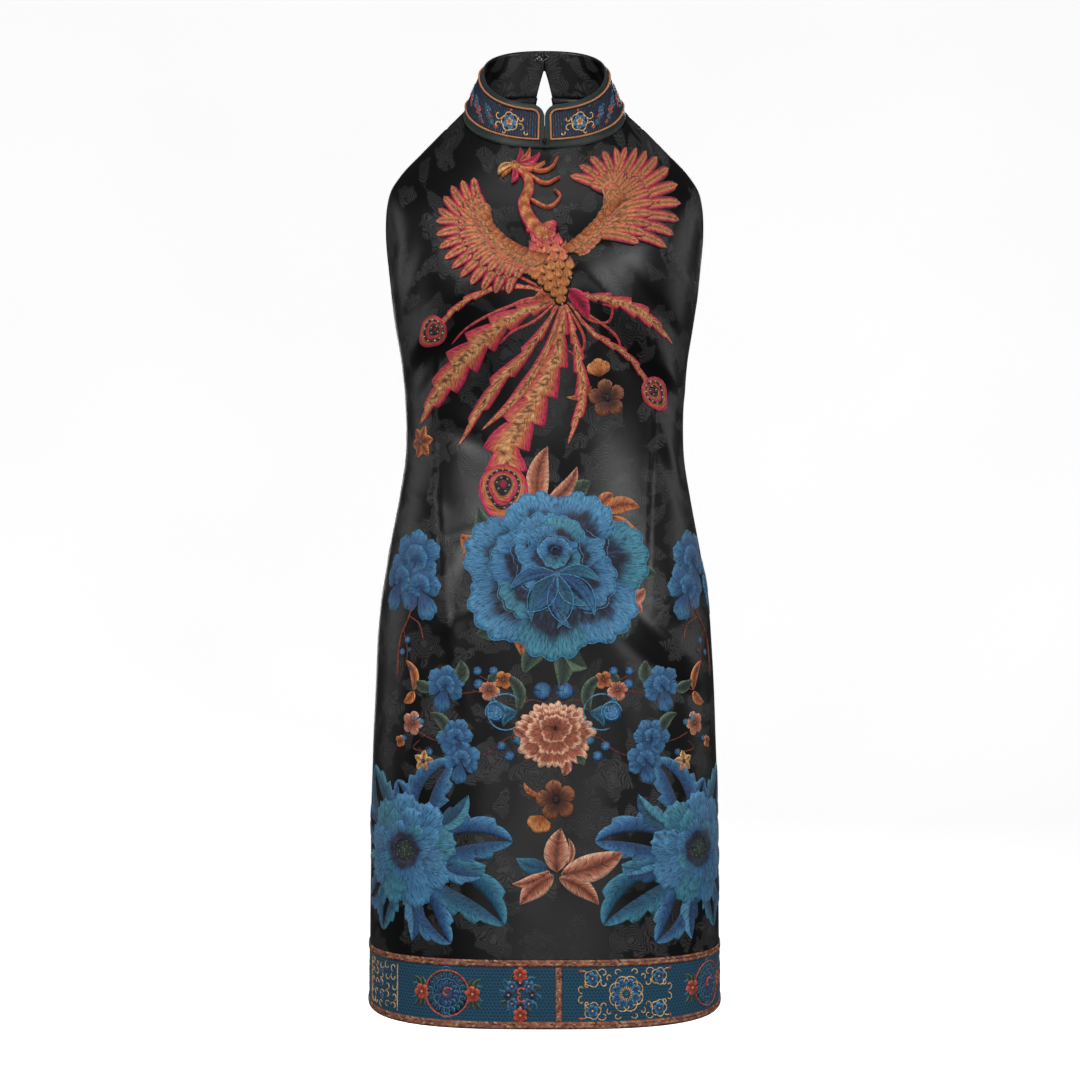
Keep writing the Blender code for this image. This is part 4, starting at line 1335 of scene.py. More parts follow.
def petal_colour(work, threads, hollow, end, light):
    """A petal's dye: a speckled hollow up to a share of its length, then bright stitches."""
    def colour(s, t):
        speckle = work.chance.random(s.shape)
        bright = shade(threads, light * (0.36 + 0.6 * s - 0.3 * np.abs(t) ** 3) + 0.1 * speckle)
        dark = shade(hollow, 0.1 + 0.75 * speckle ** 3)
        limit = end - 0.16 * np.abs(t) ** 2 + 0.03 * np.cos(9.0 * t)
        return blend((limit - s) * 9.0 + 0.5, bright, dark)
    return colour


def stitch_peony(work, cloth):
    """The great blue flower, with a bright rim on each petal."""
    middle = cloth.seen(*PEONY_PLACE)
    for ring_number, (petals, inner, outer, turn, aside, hollow, light) in enumerate(PEONY_RINGS):
        for i, angle in enumerate(around(petals, radians(turn))):
            wander = 1.0 + 0.07 * sin(5.3 * i + ring_number) + 0.05 * cos(2.0 * angle)
            base = 0.0008 + 0.00042 * ring_number + 0.00014 * ((i * 3) % 4)
            threads = "sea" if (3 * i + ring_number) % 5 == 0 else "blue"
            colour = petal_colour(work, threads, "ink", hollow, light)
            edge = work.fan(middle + aside, angle, inner, outer * wander, 1.24 * pi / petals, base,
                            0.0009, colour, 5.0, 0.06, 0.24, rows=14, columns=28, squash=0.97)
            work.cord(evenly(edge[1:-1], 0.0016), 0.00042, base + 0.00022, "blue", light=0.95)
    heart = middle + PEONY_RINGS[-1][4]
    for turn in range(5):
        curl = arc(heart, 0.0035 + 0.0023 * turn, 0.3 + 1.9 * turn, 3.7 + 1.9 * turn, 16)
        work.cord(curl, 0.0006, 0.0031, "blue", light=0.55 + 0.12 * (turn % 2))
    root = middle + (0.003, -0.006)
    for angle, reach, threads in ((-104, 0.05, "sea"), (-62, 0.052, "blue"), (-146, 0.046, "blue"),
                                  (-28, 0.04, "sea")):
        way = toward(radians(angle))
        side = np.array((-way[1], way[0]))
        for half in (-1.0, 1.0):
            tip = root + way * reach + side * half * 0.012
            work.leaf(root, tip, 0.011, 0.16 * half, threads, style="plain", base=0.0026)
            work.cord(bent(root, tip, 0.3 * half, 18), 0.0005, 0.0031, "blue", light=0.95)


# Leaves: foot and tip in pixels of the photograph, width in metres, bend as a share of the length,
# thread, and style where it has no vein.
LEAVES = (
    (540, 508, 548, 446, 0.022, 0.1, "rose"),
    (546, 502, 577, 466, 0.015, -0.14, "rose"),
    (604, 512, 640, 508, 0.017, 0.14, "copper"),
    (600, 506, 614, 494, 0.013, 0.1, "copper"),
    (612, 516, 638, 530, 0.016, -0.14, "copper"),
    (484, 548, 461, 534, 0.018, 0.12, "copper"),
    (486, 552, 462, 556, 0.014, -0.16, "copper"),
    (514, 626, 521, 656, 0.012, 0.08, "copper"),
    (626, 598, 645, 588, 0.015, -0.18, "rose"),
    (626, 604, 642, 614, 0.013, 0.18, "rose"),
    (500, 544, 479, 507, 0.02, 0.12, "green"),
    (576, 500, 592, 482, 0.016, 0.18, "green"),
    (638, 574, 657, 576, 0.014, 0.1, "green"),
    (508, 618, 476, 634, 0.022, 0.1, "green"),
    (492, 640, 516, 618, 0.018, 0.12, "green"),
    (618, 612, 624, 640, 0.014, 0.12, "green"),
    (548, 640, 524, 674, 0.02, -0.1, "green"),
    (560, 638, 560, 690, 0.02, 0.08, "green"),
    (558, 640, 588, 668, 0.026, -0.14, "green", "split"),
    (574, 634, 600, 642, 0.014, 0.14, "green"),
    (566, 760, 563, 776, 0.011, 0.1, "rose"),
    (574, 754, 584, 766, 0.01, 0.12, "green", "plain"),
    (534, 735, 513, 727, 0.013, 0.12, "rose"),
    (540, 795, 524, 782, 0.006, 0.2, "copper", "plain"),
    (592, 386, 566, 397, 0.007, 0.18, "amber", "plain"),
)

STAR_LEAVES = (
    (557, 872, 561, 828, 0.024, 0.05),
    (561, 874, 625, 850, 0.026, -0.07),
    (559, 878, 599, 905, 0.018, 0.1),
    (554, 876, 520, 905, 0.021, -0.08),
    (550, 871, 512, 884, 0.012, 0.1),
    (568, 864, 568, 838, 0.006, -0.16),
)

# Mirrored motifs: distance right of the spray's axis and height, in pixels.
SPRAY_LEAVES = (
    (36, 712, 54, 674, 0.012, 0.26, "green"),
    (95, 684, 93, 660, 0.015, 0.1, "green"),
    (122, 688, 138, 679, 0.012, -0.14, "green"),
    (106, 735, 124, 713, 0.012, 0.18, "green"),
    (36, 712, 62, 696, 0.01, -0.2, "sea"),
    (37, 714, 50, 727, 0.008, 0.22, "sea"),
    (140, 690, 148, 660, 0.01, 0.2, "copper"),
    (140, 691, 150, 702, 0.01, -0.16, "copper"),
    (66, 682, 58, 672, 0.01, 0.14, "green"),
)

SPRAY_BERRIES = (
    (11, 691, 0.0088, "blue"), (60, 671, 0.0044, "blue"), (76, 671, 0.0044, "blue"),
    (75, 684, 0.005, "blue"), (36, 740, 0.0048, "sea"), (52, 746, 0.0048, "blue"),
    (44, 756, 0.005, "blue"), (146, 640, 0.0036, "blue"), (151, 652, 0.0036, "blue"),
    (144, 650, 0.003, "ink"), (138, 718, 0.0036, "blue"), (132, 722, 0.0034, "sea"),
    (149, 738, 0.0032, "blue"), (124, 752, 0.0036, "blue"), (143, 668, 0.0028, "ink"),
)

SPRAY_STEMS = (
    ((2, 706), (22, 700), (38, 710)),
    ((11, 691), (2, 700)),
    ((78, 692), (96, 694)),
    ((58, 688), (72, 692), (82, 690)),
    ((120, 689), (128, 688), (141, 690)),
    ((30, 736), (46, 738), (60, 750), (74, 756)),
    ((52, 676), (64, 680), (74, 676)),
    ((112, 742), (124, 738), (134, 732)),
    ((150, 628), (146, 650), (148, 668)),
    ((134, 740), (140, 748), (128, 752)),
)

SPRAY_FLOWERS = (
    (64, 690, 0.0104, 20, "rose", 4, "brown"),
    (50, 680, 0.0088, 60, "amber", 4, "brown"),
    (141, 723, 0.0118, 90, "rose", 5, "brown"),
    (130, 761, 0.0108, 80, "gold", 5, "ink"),
    (153, 741, 0.0062, 30, "amber", 4, "brown"),
)


def stitch_flower_cluster(work, centre, scale, turn, threads):
    """A small blue bloom seen from its side."""
    for angle, reach, wide in ((200, 1.0, 0.6), (-20, 0.95, 0.6), (150, 1.05, 0.55), (35, 1.05, 0.55),
                               (92, 1.0, 0.6), (-90, 1.25, 0.52)):
        work.fan(centre, radians(angle + turn), 0.0015, scale * reach, wide, 0.0003, 0.0007,
                 graded(threads, 0.22, 0.55, 0.25, 4), 3.0, 0.1, rows=6, columns=10)
    for i, radius in enumerate((0.52, 0.36)):
        work.fan(centre, radians(70 + turn + 60 * i), 0.0005, scale * radius, 2.2, 0.0009, 0.0006,
                 graded(threads, 0.35, 0.4), 5.0, 0.12, 0.12, rows=5, columns=14)


# The great rosettes: centre in pixels, then leaves by angle, reach, width, bend and whether hollow.
ROSETTE_LEAVES = (
    (126, 0.094, 0.05, 0.08, True),
    (100, 0.066, 0.03, -0.14, True),
    (60, 0.1, 0.046, 0.12, True),
    (40, 0.086, 0.026, -0.16, False),
    (6, 0.108, 0.048, 0.1, True),
    (-14, 0.084, 0.022, -0.1, False),
    (-34, 0.12, 0.056, 0.1, True),
    (-60, 0.098, 0.044, -0.08, True),
    (-84, 0.086, 0.026, 0.1, False),
    (-110, 0.084, 0.036, -0.1, True),
    (-142, 0.088, 0.038, 0.12, True),
    (168, 0.09, 0.04, -0.12, True),
    (-170, 0.076, 0.022, 0.12, False),
)


# Rings of petals from the outside in: how many, inner and outer radius, and turn in degrees.
ROSETTE_RINGS = ((9, 0.01, 0.054, 10), (8, 0.01, 0.041, 30), (7, 0.0105, 0.029, 5))
COPPER_RINGS = ((9, 0.006, 0.0345, 4), (7, 0.004, 0.025, 30), (5, 0.002, 0.015, 10))


def stitch_rosette(work, centre, mirror):
    """A deep blue flower ringed by long serrated leaves."""
    for number, (angle, reach, width, bend, hollow) in enumerate(ROSETTE_LEAVES):
        way = toward(radians(180.0 - angle if mirror else angle))
        bend = -bend if mirror else bend
        foot, tip = centre + way * 0.034, centre + way * reach
        threads = "blue" if number % 3 else "sea"
        if not hollow:
            work.leaf(foot, tip, width, bend, threads, "split", teeth=3, base=0.0004)
            continue
        line = bent(foot, tip, bend, 31)
        side = unit(np.gradient(line, axis=0))[:, ::-1] * (1.0, -1.0)
        band = 0.34 * width * blade(31, 0.45, 1.5)
        middle = side * np.maximum(0.5 * width * blade(31, 0.42, 1.5) - band * 0.6, 0.0)[:, None]
        edges = (band * 0.7 * toothed(31, 4, 0.62) + 0.0004, band * 0.5 + 0.0004)
        for half in (-1, 1):
            work.ribbon(line + half * middle, *edges[::-half], 0.00035, 0.0004,
                        lambda s, t: shade(threads, 0.38 + 0.3 * t * half + 0.28 * s), 6, 0.9)
    for ring_number, (petals, inner, outer, turn) in enumerate(ROSETTE_RINGS):
        for i, angle in enumerate(around(petals, radians(turn))):
            threads = "blue" if (i + ring_number) % 3 else "sea"
            work.fan(centre, angle, inner, outer * (1.0 + 0.07 * sin(3.1 * i)), 1.22 * pi / petals,
                     0.0006 + 0.0004 * ring_number + 0.0001 * (i % 2), 0.0008,
                     petal_colour(work, threads, "ink", 0.42, 0.86), 5.0, 0.09, 0.24, rows=9, columns=14)


# Clusters of blue blooms and their branches: distance right of the spray's axis and height in pixels.
SPRAY_CLUSTERS = ((108, 686, 0.0195, 12), (98, 738, 0.018, -30), (92, 760, 0.018, 10))
HIP_CLUSTERS = ((138, 560, 0.029, 10), (134, 588, 0.026, -25), (152, 580, 0.026, 30))
BRANCH = ((136, 596), (144, 616), (153, 640), (156, 676))
TWIG = ((144, 616), (134, 624), (130, 640))


def stitch_spray(wrap, side, works, blue, copper):
    """What both sides of the skirt share, at the photograph's left (-1) or right (+1)."""
    def spot(right, height):
        return wrap.seen(SPRAY_AXIS + side * right, height)

    def stem(places, count, radius=0.0006, base=0.00015, light=0.6):
        copper.cord(line_through([spot(*place) for place in places], count), radius, base, "stem", light)
    for fx, fy, tx, ty, width, bend, threads in SPRAY_LEAVES:
        works.get(threads, copper).leaf(spot(fx, fy), spot(tx, ty), width, side * bend, threads)
    for x, y, radius, threads in SPRAY_BERRIES:
        blue.round(spot(x, y), radius, 0.0003, 0.0007, threads)
    for places in SPRAY_STEMS:
        stem(places, 14)
    for x, y, radius, turn, threads, petals, heart in SPRAY_FLOWERS:
        copper.blossom(spot(x, y), radius, radians(90 + side * turn), threads, petals, heart,
                       pointed=threads == "gold")
    for x, y, scale, turn in SPRAY_CLUSTERS:
        stitch_flower_cluster(blue, spot(x, y), scale, side * turn, "blue")
    blue.round(spot(58, 712), 0.01, 0.0003, 0.0008, "blue")
    for turn, radius in ((0.0, 0.0095), (2.2, 0.007), (4.3, 0.0045)):
        blue.cord(arc(spot(58, 712), radius, turn, turn + 3.6, 16), 0.0007, 0.0009, "blue", light=0.95)
    blue.cord(arc(spot(48, 712), 0.017, 0.4, 5.2, 30), 0.0007, 0.0003, "blue", light=0.9)
    for x, y, scale, turn in HIP_CLUSTERS:
        stitch_flower_cluster(blue, spot(x, y), scale, side * turn, "blue")
    stem(BRANCH, 30, 0.0011, 0.0002, 0.7)
    stem(TWIG, 14, 0.0007, 0.0002, 0.7)


def stitch_blooms(front, wrap, blue, copper, green):
    """Everything on the skirt and waist but the bird."""
    seen = front.seen
    works = {"blue": blue, "sea": blue, "ink": blue, "green": green}
    for fx, fy, tx, ty, width, bend, threads, *style in LEAVES:
        works.get(threads, copper).leaf(seen(fx, fy), seen(tx, ty), width, bend, threads, *style)
    stitch_peony(blue, front)
    for fx, fy, tx, ty, width, bend in STAR_LEAVES:
        copper.leaf(seen(fx, fy), seen(tx, ty), width, bend, "rose", base=0.0004, rim=1.0)
    blue.leaf(seen(548, 868), seen(516, 858), 0.016, 0.1, "sea", "plain")
    copper_peony(copper, seen(555, 735))
    for x, y, radius, leaf_x, leaf_y in ((607, 398, 0.018, 600, 377), (556, 800, 0.019, 542, 815)):
        copper.fan(seen(leaf_x, leaf_y), radians(100 if leaf_y < y else -110), 0.001, 0.017, 1.15,
                   0.0003, 0.0005, graded("amber", 0.45, 0.4), 3.0, 0.1)
        copper.blossom(seen(x, y), radius, 0.5, "brown", heart="black", base=0.0006, inner_light=0.15,
                       outer_light=0.95, scallop=0.06)
    copper.blossom(seen(421, 442), 0.017, 1.2, "amber", petals=6, heart="brown", pointed=True)
    for side in (-1, 1):
        stitch_spray(wrap, side, works, blue, copper)
    for x, y, side in ((405, 850, -1), (698, 848, 1)):
        heart = wrap.seen(x, y)
        stitch_rosette(blue, heart, side > 0)
        green.round(heart, 0.0125, 0.0007, 0.0004, "green", light=0.35)
        for i in range(14):
            green.round(heart + 0.0028 * sqrt(i) * toward(2.4 * i), 0.0009, 0.0011, 0.0005, "green",
                        light=0.9)


def copper_peony(work, centre):
    """The scalloped copper flower under the great one."""
    def colour(s, t):
        return shade("rose", 0.16 + 0.34 * s + 0.42 * (s > 0.84) + 0.1 * work.chance.random(s.shape))
    for ring_number, (petals, inner, outer, turn) in enumerate(COPPER_RINGS):
        for i, angle in enumerate(around(petals, radians(turn))):
            work.fan(centre + (0.0, 0.003 * ring_number), angle, inner,
                     outer * (1.0 + 0.1 * cos(2.0 * angle)), 1.2 * pi / petals,
                     0.0003 + 0.0004 * ring_number + 0.0001 * (i % 2), 0.0007, colour, 3.0, 0.12, 0.22,
                     rows=8, columns=12)


def row_between(grid, place):
    low = min(int(place), len(grid) - 2)
    return grid[low] + (grid[low + 1] - grid[low]) * (place - low)


def wrapped_cloth(front, back, low, high, rows, half_columns):
    """The skirt from the back round the front, for what wraps its sides."""
    middle, levels = front.grid.shape[1] // 2, np.linspace(low, high, rows + 1)
    grid, reach = [], []
    for up in levels:
        whole = row_between(front.grid, np.interp(up, front.up, front.rows))
        halves = []
        for half, turn in ((whole[middle::-1], mirrored), (whole[middle:], np.array)):
            behind = row_between(back.grid, np.interp(half[-1, 2], back.grid[:, -1, 2], back.rows))
            halves.append(np.vstack((half, turn(behind[::-1][1:int(0.7 * len(behind))]))))
        reach.append(min(section_length(half) for half in halves))
        steps = np.linspace(0.0, reach[-1], half_columns + 1)
        left, right = (along_section(half, steps) for half in halves)
        grid.append(np.vstack((left[:0:-1], right)))
    return Cloth(np.array(grid), np.linspace(-1.0, 1.0, 2 * half_columns + 1), np.array(reach), levels)


# The bird is seen from its side with both wings spread. All its places are pixels of the photograph.
BIRD_ROOT = (561, 300)
BIRD_NECK = (540, 226)
NECK_LINE = ((548, 240), (532, 224), (524, 206), (529, 190), (526, 176), (515, 168))

# Plumes: the places they pass, then width in metres, teeth on each edge, and the radius of an eye.
PLUMES = (
    (((556, 294), (512, 286), (470, 298), (440, 324)), 0.012, 6, 0.016),
    (((556, 300), (508, 320), (462, 362), (420, 424)), 0.043, 7, 0.0),
    (((560, 302), (530, 348), (494, 388), (458, 446)), 0.02, 4, 0.0),
    (((562, 304), (546, 352), (516, 398), (482, 430)), 0.012, 0, 0.0),
    (((568, 302), (592, 332), (628, 356), (648, 384)), 0.0125, 6, 0.017),
    (((568, 296), (602, 298), (640, 312), (672, 344)), 0.02, 6, 0.0),
    (((566, 304), (576, 346), (582, 396), (568, 444)), 0.017, 5, 0.0),
    (((564, 304), (556, 356), (530, 408), (507, 446), (504, 472)), 0.046, 6, 0.0265),
)

# The eye's rings from its middle: where each starts, its thread and its light.
EYE_BANDS = ((0.0, "crimson", 0.3), (0.16, "black", 0.4), (0.34, "amber", 0.6), (0.5, "crimson", 0.62),
             (0.58, "black", 0.4), (0.72, "amber", 0.62), (0.88, "crimson", 0.62))

# Fine loose barbs between the plumes.
BARBS = (
    ((570, 300), (590, 320), (608, 322), (612, 308), (602, 304)),
    ((566, 304), (584, 338), (578, 356), (568, 350)),
    ((558, 300), (536, 320), (512, 332), (500, 344)),
    ((554, 296), (524, 300), (500, 312)),
    ((550, 292), (526, 280), (508, 272), (500, 280), (508, 286)),
    ((562, 304), (560, 336), (548, 362)),
    ((566, 302), (590, 316), (616, 336), (622, 356)),
    ((552, 298), (510, 306), (470, 326), (452, 344)),
)

# Wings: the arm's line, then the tips of its long feathers.
RIGHT_WING = (((560, 250), (586, 232), (612, 214), (628, 200)),
              ((570, 176), (588, 158), (610, 149), (634, 148), (656, 157), (672, 174), (680, 198), (678, 224),
               (666, 248)))
LEFT_WING = (((550, 254), (526, 248), (502, 236), (488, 222)),
             ((474, 178), (454, 184), (441, 202), (436, 222), (438, 244), (448, 264), (464, 280), (486, 292),
              (508, 294)))


def plume_colour(work, fade):
    """Crimson barbs, copper inside, and a speckled midrib."""
    def colour(s, t):
        speckle = work.chance.random(s.shape)
        body = shade("coral", 0.46 + 0.26 * (1.0 - np.abs(t)) + 0.1 * speckle)
        body = blend(fade * (1.0 - s) * 0.5, body, shade("crimson", 0.5))
        core = blend((np.abs(t) < 0.42) * (0.35 + 0.5 * speckle), body, shade("gold", 0.3 + 0.5 * speckle))
        core = blend((np.abs(t) < 0.3) * (speckle < 0.35) * 0.8, core, shade("brown", 0.3))
        return blend((np.abs(t) - 0.62) * 6.0, core, shade("crimson", 0.55 + 0.15 * speckle))
    return colour


def stitch_plume(work, beads, cloth, places, width, teeth, eye):
    """A long tail feather with hooked barbs, and the eye at the end of some."""
    count = 12 * teeth + 1 if teeth else 49
    line = cloth.line(places, count)
    s = np.linspace(0.0, 1.0, count)
    half = 0.5 * width * (0.16 + 0.84 * np.sin(0.5 * pi * np.minimum(s * 1.25, 1.0)))
    if not eye:
        half = half * np.minimum(1.0, 2.6 * (1.0 - s)) ** 0.8 + 0.0003
    left, right = half, half
    if teeth:
        left = half * toothed(count, teeth, 0.52)
        right = half * np.roll(toothed(count, teeth, 0.52), 5)
    if eye and eye < 0.02:
        left, right = left * (1.0 - 0.4 * s), right * (1.0 - 0.4 * s)
    work.ribbon(line, left, right, 0.0004, 0.0007, plume_colour(work, 0.6), 12, 0.95)
    if not eye:
        return
    way = unit(line[-1] - line[-3])
    centre = line[-1] + way * 0.62 * eye
    tip = atan2(way[1], way[0])

    def ring(share, turn):
        """How far a ring of the eye reaches, and how far it sits back."""
        far = eye * share * (0.9 + 0.32 * np.clip(np.cos(turn), 0.0, 1.0) ** 7)
        return far, 0.22 * eye * (1.0 - share ** 1.5)

    def colour(s, t):
        dye = np.zeros((*s.shape, 3))
        for start, threads, light in EYE_BANDS:
            dye = np.where((s >= start)[..., None], shade(threads, light), dye)
        return dye
    t = np.linspace(-1.0, 1.0, 49)
    s = np.linspace(0.0, 1.0, 19)[:, None]
    angle = tip + pi * t
    radius, back = ring(s, pi * t)
    work.patch(s, t, centre[0] + radius * np.cos(angle) - back * way[0],
               centre[1] + radius * np.sin(angle) - back * way[1], 0.001 + 0.0005 * (1.0 - s ** 4),
               colour, radius, angle * 0.5 * eye)
    for share in (0.25, 0.65):
        for turn in around(int(tau * share * eye / 0.0022), tip):
            far, back = ring(share, turn - tip)
            beads.append((*(centre - way * back + far * toward(turn)), 0.0016))


def stitch_wing(work, cloth, arm, tips, base):
    """Long feathers under three rows of short ones."""
    line, ends = cloth.line(arm, 40), cloth.line(tips, 15)
    side = 1.0 if tips[0][0] > BIRD_ROOT[0] else -1.0

    def feather(s, t):
        body = shade("copper", 0.34 + 0.44 * (1.0 - np.abs(t)) + 0.1 * s)
        body = blend((np.abs(t) < 0.2) * 0.75, body, shade("brown", 0.3))
        body = blend((np.abs(t) - 0.46) * 6.0 + 2.0 * (s - 0.86), body, shade("crimson", 0.56))
        return blend((np.abs(t) - 0.86) * 9.0, body, shade("black", 0.5))
    for length, width, lift in ((1.0, 0.012, 0.0), (0.66, 0.013, 0.0008)):
        for i, tip in enumerate(ends):
            share = i / (len(ends) - 1.0)
            foot = line[round((0.97 - 0.75 * share) * 39)]
            spine = bent(foot, foot + (tip - foot) * length, side * (0.1 - 0.16 * (share < 0.3)), 19)
            half = 0.5 * width * blade(19, 0.62, 1.0)
            work.ribbon(spine, half, half, base + lift + 0.00005 * i, 0.0005, feather, 6, 0.95)
    for row, (reach, threads) in enumerate(((0.027, "amber"), (0.019, "copper"), (0.012, "amber"))):
        def colour(s, t):
            light = shade(threads, 0.34 + 0.42 * s - 0.2 * np.abs(t) ** 3)
            light = blend((s - 0.8) * 9.0, light, shade("brown" if row else "crimson", 0.5))
            return blend((s - 0.9) * 9.0, light, shade("gold", 0.72))
        for i in range(12):
            share = (i + 0.5 * (row % 2)) / 11.5
            foot = line[round((0.02 + 0.96 * share) * 39)]
            turn = atan2(*(ends[round((1.0 - share) * 14)] - foot)[::-1])
            work.fan(foot, turn, 0.001, reach, 0.42 + 0.1 * row, base + 0.0018 + 0.0004 * row, 0.0005,
                     colour, droop=0.34, rows=8, columns=8)


def stitch_bird(work, beads, cloth):
    """A long-plumed bird in copper and crimson, with its wings spread."""
    for places, width, teeth, eye in PLUMES:
        stitch_plume(work, beads, cloth, places, width, teeth, eye)
    for barb in BARBS:
        half = 0.0011 * blade(30, 0.5, 0.8) + 0.0003
        work.ribbon(cloth.line(barb, 30), half, half, 0.0005, 0.0005,
                    lambda s, t: blend(s * 0.9, shade("coral", 0.62), shade("crimson", 0.55)), 4, 1.2)
    stitch_wing(work, cloth, *RIGHT_WING, 0.0007)
    stitch_wing(work, cloth, *LEFT_WING, 0.0007)
    root, breast = cloth.seen(*BIRD_ROOT), cloth.seen(*BIRD_NECK)
    for side, threads in ((-1, "coral"), (1, "crimson")):
        tip = root + (side * 0.026, 0.002 - 0.02 * (side > 0))
        work.leaf(root + (side * 0.006, 0.01), tip, 0.015, 0.1, threads, base=0.0012)
    axis = breast - root
    along = unit(axis)
    side = np.array((along[1], -along[0]))
    down = atan2(*(-along)[::-1])
    for row in range(9):
        share = row / 8.0
        width = 0.002 + 0.0195 * sin(pi * min(0.08 + 0.72 * share, 0.88))
        number = 2 * round(width / 0.0096) if row % 2 else 1 + 2 * int(width / 0.0096)

        def colour(s, t):
            pale = shade("coral" if row > 4 else "amber", 0.42 + 0.45 * s - 0.15 * np.abs(t) ** 3)
            return blend(0.55 * (row > 6), pale, shade("crimson", 0.62))
        for i in range(number):
            t = (i - 0.5 * (number - 1.0)) * 0.0096 / width
            foot = root + axis * (0.13 + 0.86 * share) + side * t * width - along * 0.005 * t * t
            base = 0.0014 + 0.00016 * row + 0.00005 * (i % 2)
            turn = down - 0.4 * t
            work.fan(foot, turn, 0.0, 0.0142, 0.66, base, 0.0004, graded("black", 0.4), droop=0.24, rows=4,
                     columns=8)
            work.fan(foot, turn, 0.0, 0.0126, 0.56, base + 0.0003, 0.0005, colour, droop=0.24, rows=5,
                     columns=8)
            if (row + i) % 3 == 0:
                beads.append((*(foot - along * 0.013), base + 0.0009))
    for i in range(9):
        work.fan(breast + side * 0.001, radians(150.0 + 27.0 * i), 0.0, 0.015, 0.36, 0.0028, 0.0006,
                 lambda s, t: blend((s - 0.62) * 4.0, shade("coral", 0.45 + 0.3 * s), shade("crimson", 0.62)),
                 droop=0.4, rows=6, columns=6)
    line = cloth.line(NECK_LINE, 46)
    half = 0.5 * np.linspace(0.015, 0.0068, 46)

    def neck(s, t):
        scales = 0.5 + 0.5 * np.cos(46.0 * s + 3.0 * np.abs(t))
        pale = shade("amber", 0.45 + 0.4 * scales)
        return blend((np.abs(t) - 0.66) * 4.0, pale, shade("crimson", 0.6))
    work.ribbon(line, half, half, 0.0034, 0.0007, neck, 8, 1.0)
    head = line[-1]
    work.round(head, 0.0056, 0.004, 0.0008, "amber", light=0.85, squash=0.9)
    beak = cloth.seen(498, 175)
    work.leaf(head + (-0.002, 0.0005), beak, 0.0062, -0.16, "gold", base=0.004)
    work.leaf(head + (-0.002, -0.002), beak + (0.004, -0.0025), 0.0034, -0.1, "amber", base=0.0038)
    work.leaf(head + (-0.001, -0.003), head + (-0.003, -0.016), 0.0056, 0.2, "crimson", base=0.004)
    for tip_x, tip_y, width, threads in ((520, 150, 0.005, "crimson"), (530, 150, 0.0056, "coral"),
                                         (540, 155, 0.0056, "crimson"), (545, 164, 0.0044, "coral")):
        work.leaf(head + (0.001, 0.002), cloth.seen(tip_x, tip_y), width, -0.16, threads, base=0.0042)
    for places in (((520, 165), (540, 172), (552, 168), (558, 158)), ((524, 172), (544, 184), (560, 178)),
                   ((530, 200), (548, 208), (560, 198), (554, 190))):
        half = 0.001 * blade(24, 0.4, 0.8) + 0.0003
        work.ribbon(cloth.line(places, 24), half, half, 0.0032, 0.0005, graded("coral", 0.7, -0.2), 4, 1.2)
    beads.append((*(head + (-0.0006, 0.0012)), 0.005))


BEAD_RADIUS = 0.00095


def sew_beads(name, cloth, beads, finish):
    """Small glass beads that sit in the stitches."""
    made = bmesh.new()
    for centre in cloth.place(*np.array(beads).T).tolist():
        ball = bmesh.ops.create_icosphere(made, subdivisions=2, radius=BEAD_RADIUS)
        bmesh.ops.translate(made, verts=ball["verts"], vec=centre)
    of_slot(from_bmesh(name, made, finish))


def scroll(work, centre, size, turn, hand, threads="gold", thick=0.00042, base=0.0001):
    """A line that curls in on itself."""
    radius = size * (1.0 - 0.78 * np.linspace(0.0, 1.0, 40) ** 0.8)
    work.cord(arc(centre, radius, turn, turn + hand * 4.4, 40), thick, base, threads, light=0.8)


def ring_line(centre, radius, count=60, lobes=0, depth=0.0):
    wave = np.abs(np.cos(0.5 * lobes * np.linspace(0.0, tau, count)))
    return arc(centre, radius * (1.0 + depth * wave), 0.0, tau, count)


def woven_medallion(work, centre, radius):
    """A wheel of pale blue leaves in a thin red ring."""
    work.round(centre, 0.96 * radius, 0.00006, 0.00004, "ink", light=0.8)
    work.cord(ring_line(centre, radius), 0.0008, 0.0001, "red_gold", light=0.7)
    for rays, low, high, threads in ((20, 0.66, 0.9, "sea"), (13, 0.34, 0.56, "blue")):
        for angle in around(rays):
            way = toward(angle) * radius
            work.leaf(centre + way * low, centre + way * high, 0.004, 0.3, threads, base=0.0001)
    work.cord(ring_line(centre, 0.6 * radius, lobes=12, depth=0.08), 0.0005, 0.0001, "sea", light=0.9)
    scroll(work, centre, 0.3 * radius, 0.5, 1, "red_gold", 0.0009)
    for side in (-1, 1):
        spot = centre + (side * 1.18 * radius, 0.0)
        work.blossom(spot, 0.0074, 0.5 * side, "red_gold", petals=5, heart="gold", base=0.0006, scallop=0.1)
        for up in (-1, 1):
            for lean, reach, threads in ((0.1, 0.014, "green"), (0.6, 0.016, "green"),
                                         (1.05, 0.012, "sea")):
                way = np.array((side * sin(lean), up * cos(lean))) * reach
                work.leaf(spot + way * 0.3, spot + way, 0.0052, 0.25 * up * side, threads, base=0.0001)
            foot = centre + toward(up * (0.5 * pi + 0.24 * side)) * radius * 1.02
            work.leaf(foot, foot + (side * 0.01, up * 0.0006), 0.0036, 0.2, "sea", base=0.0001)


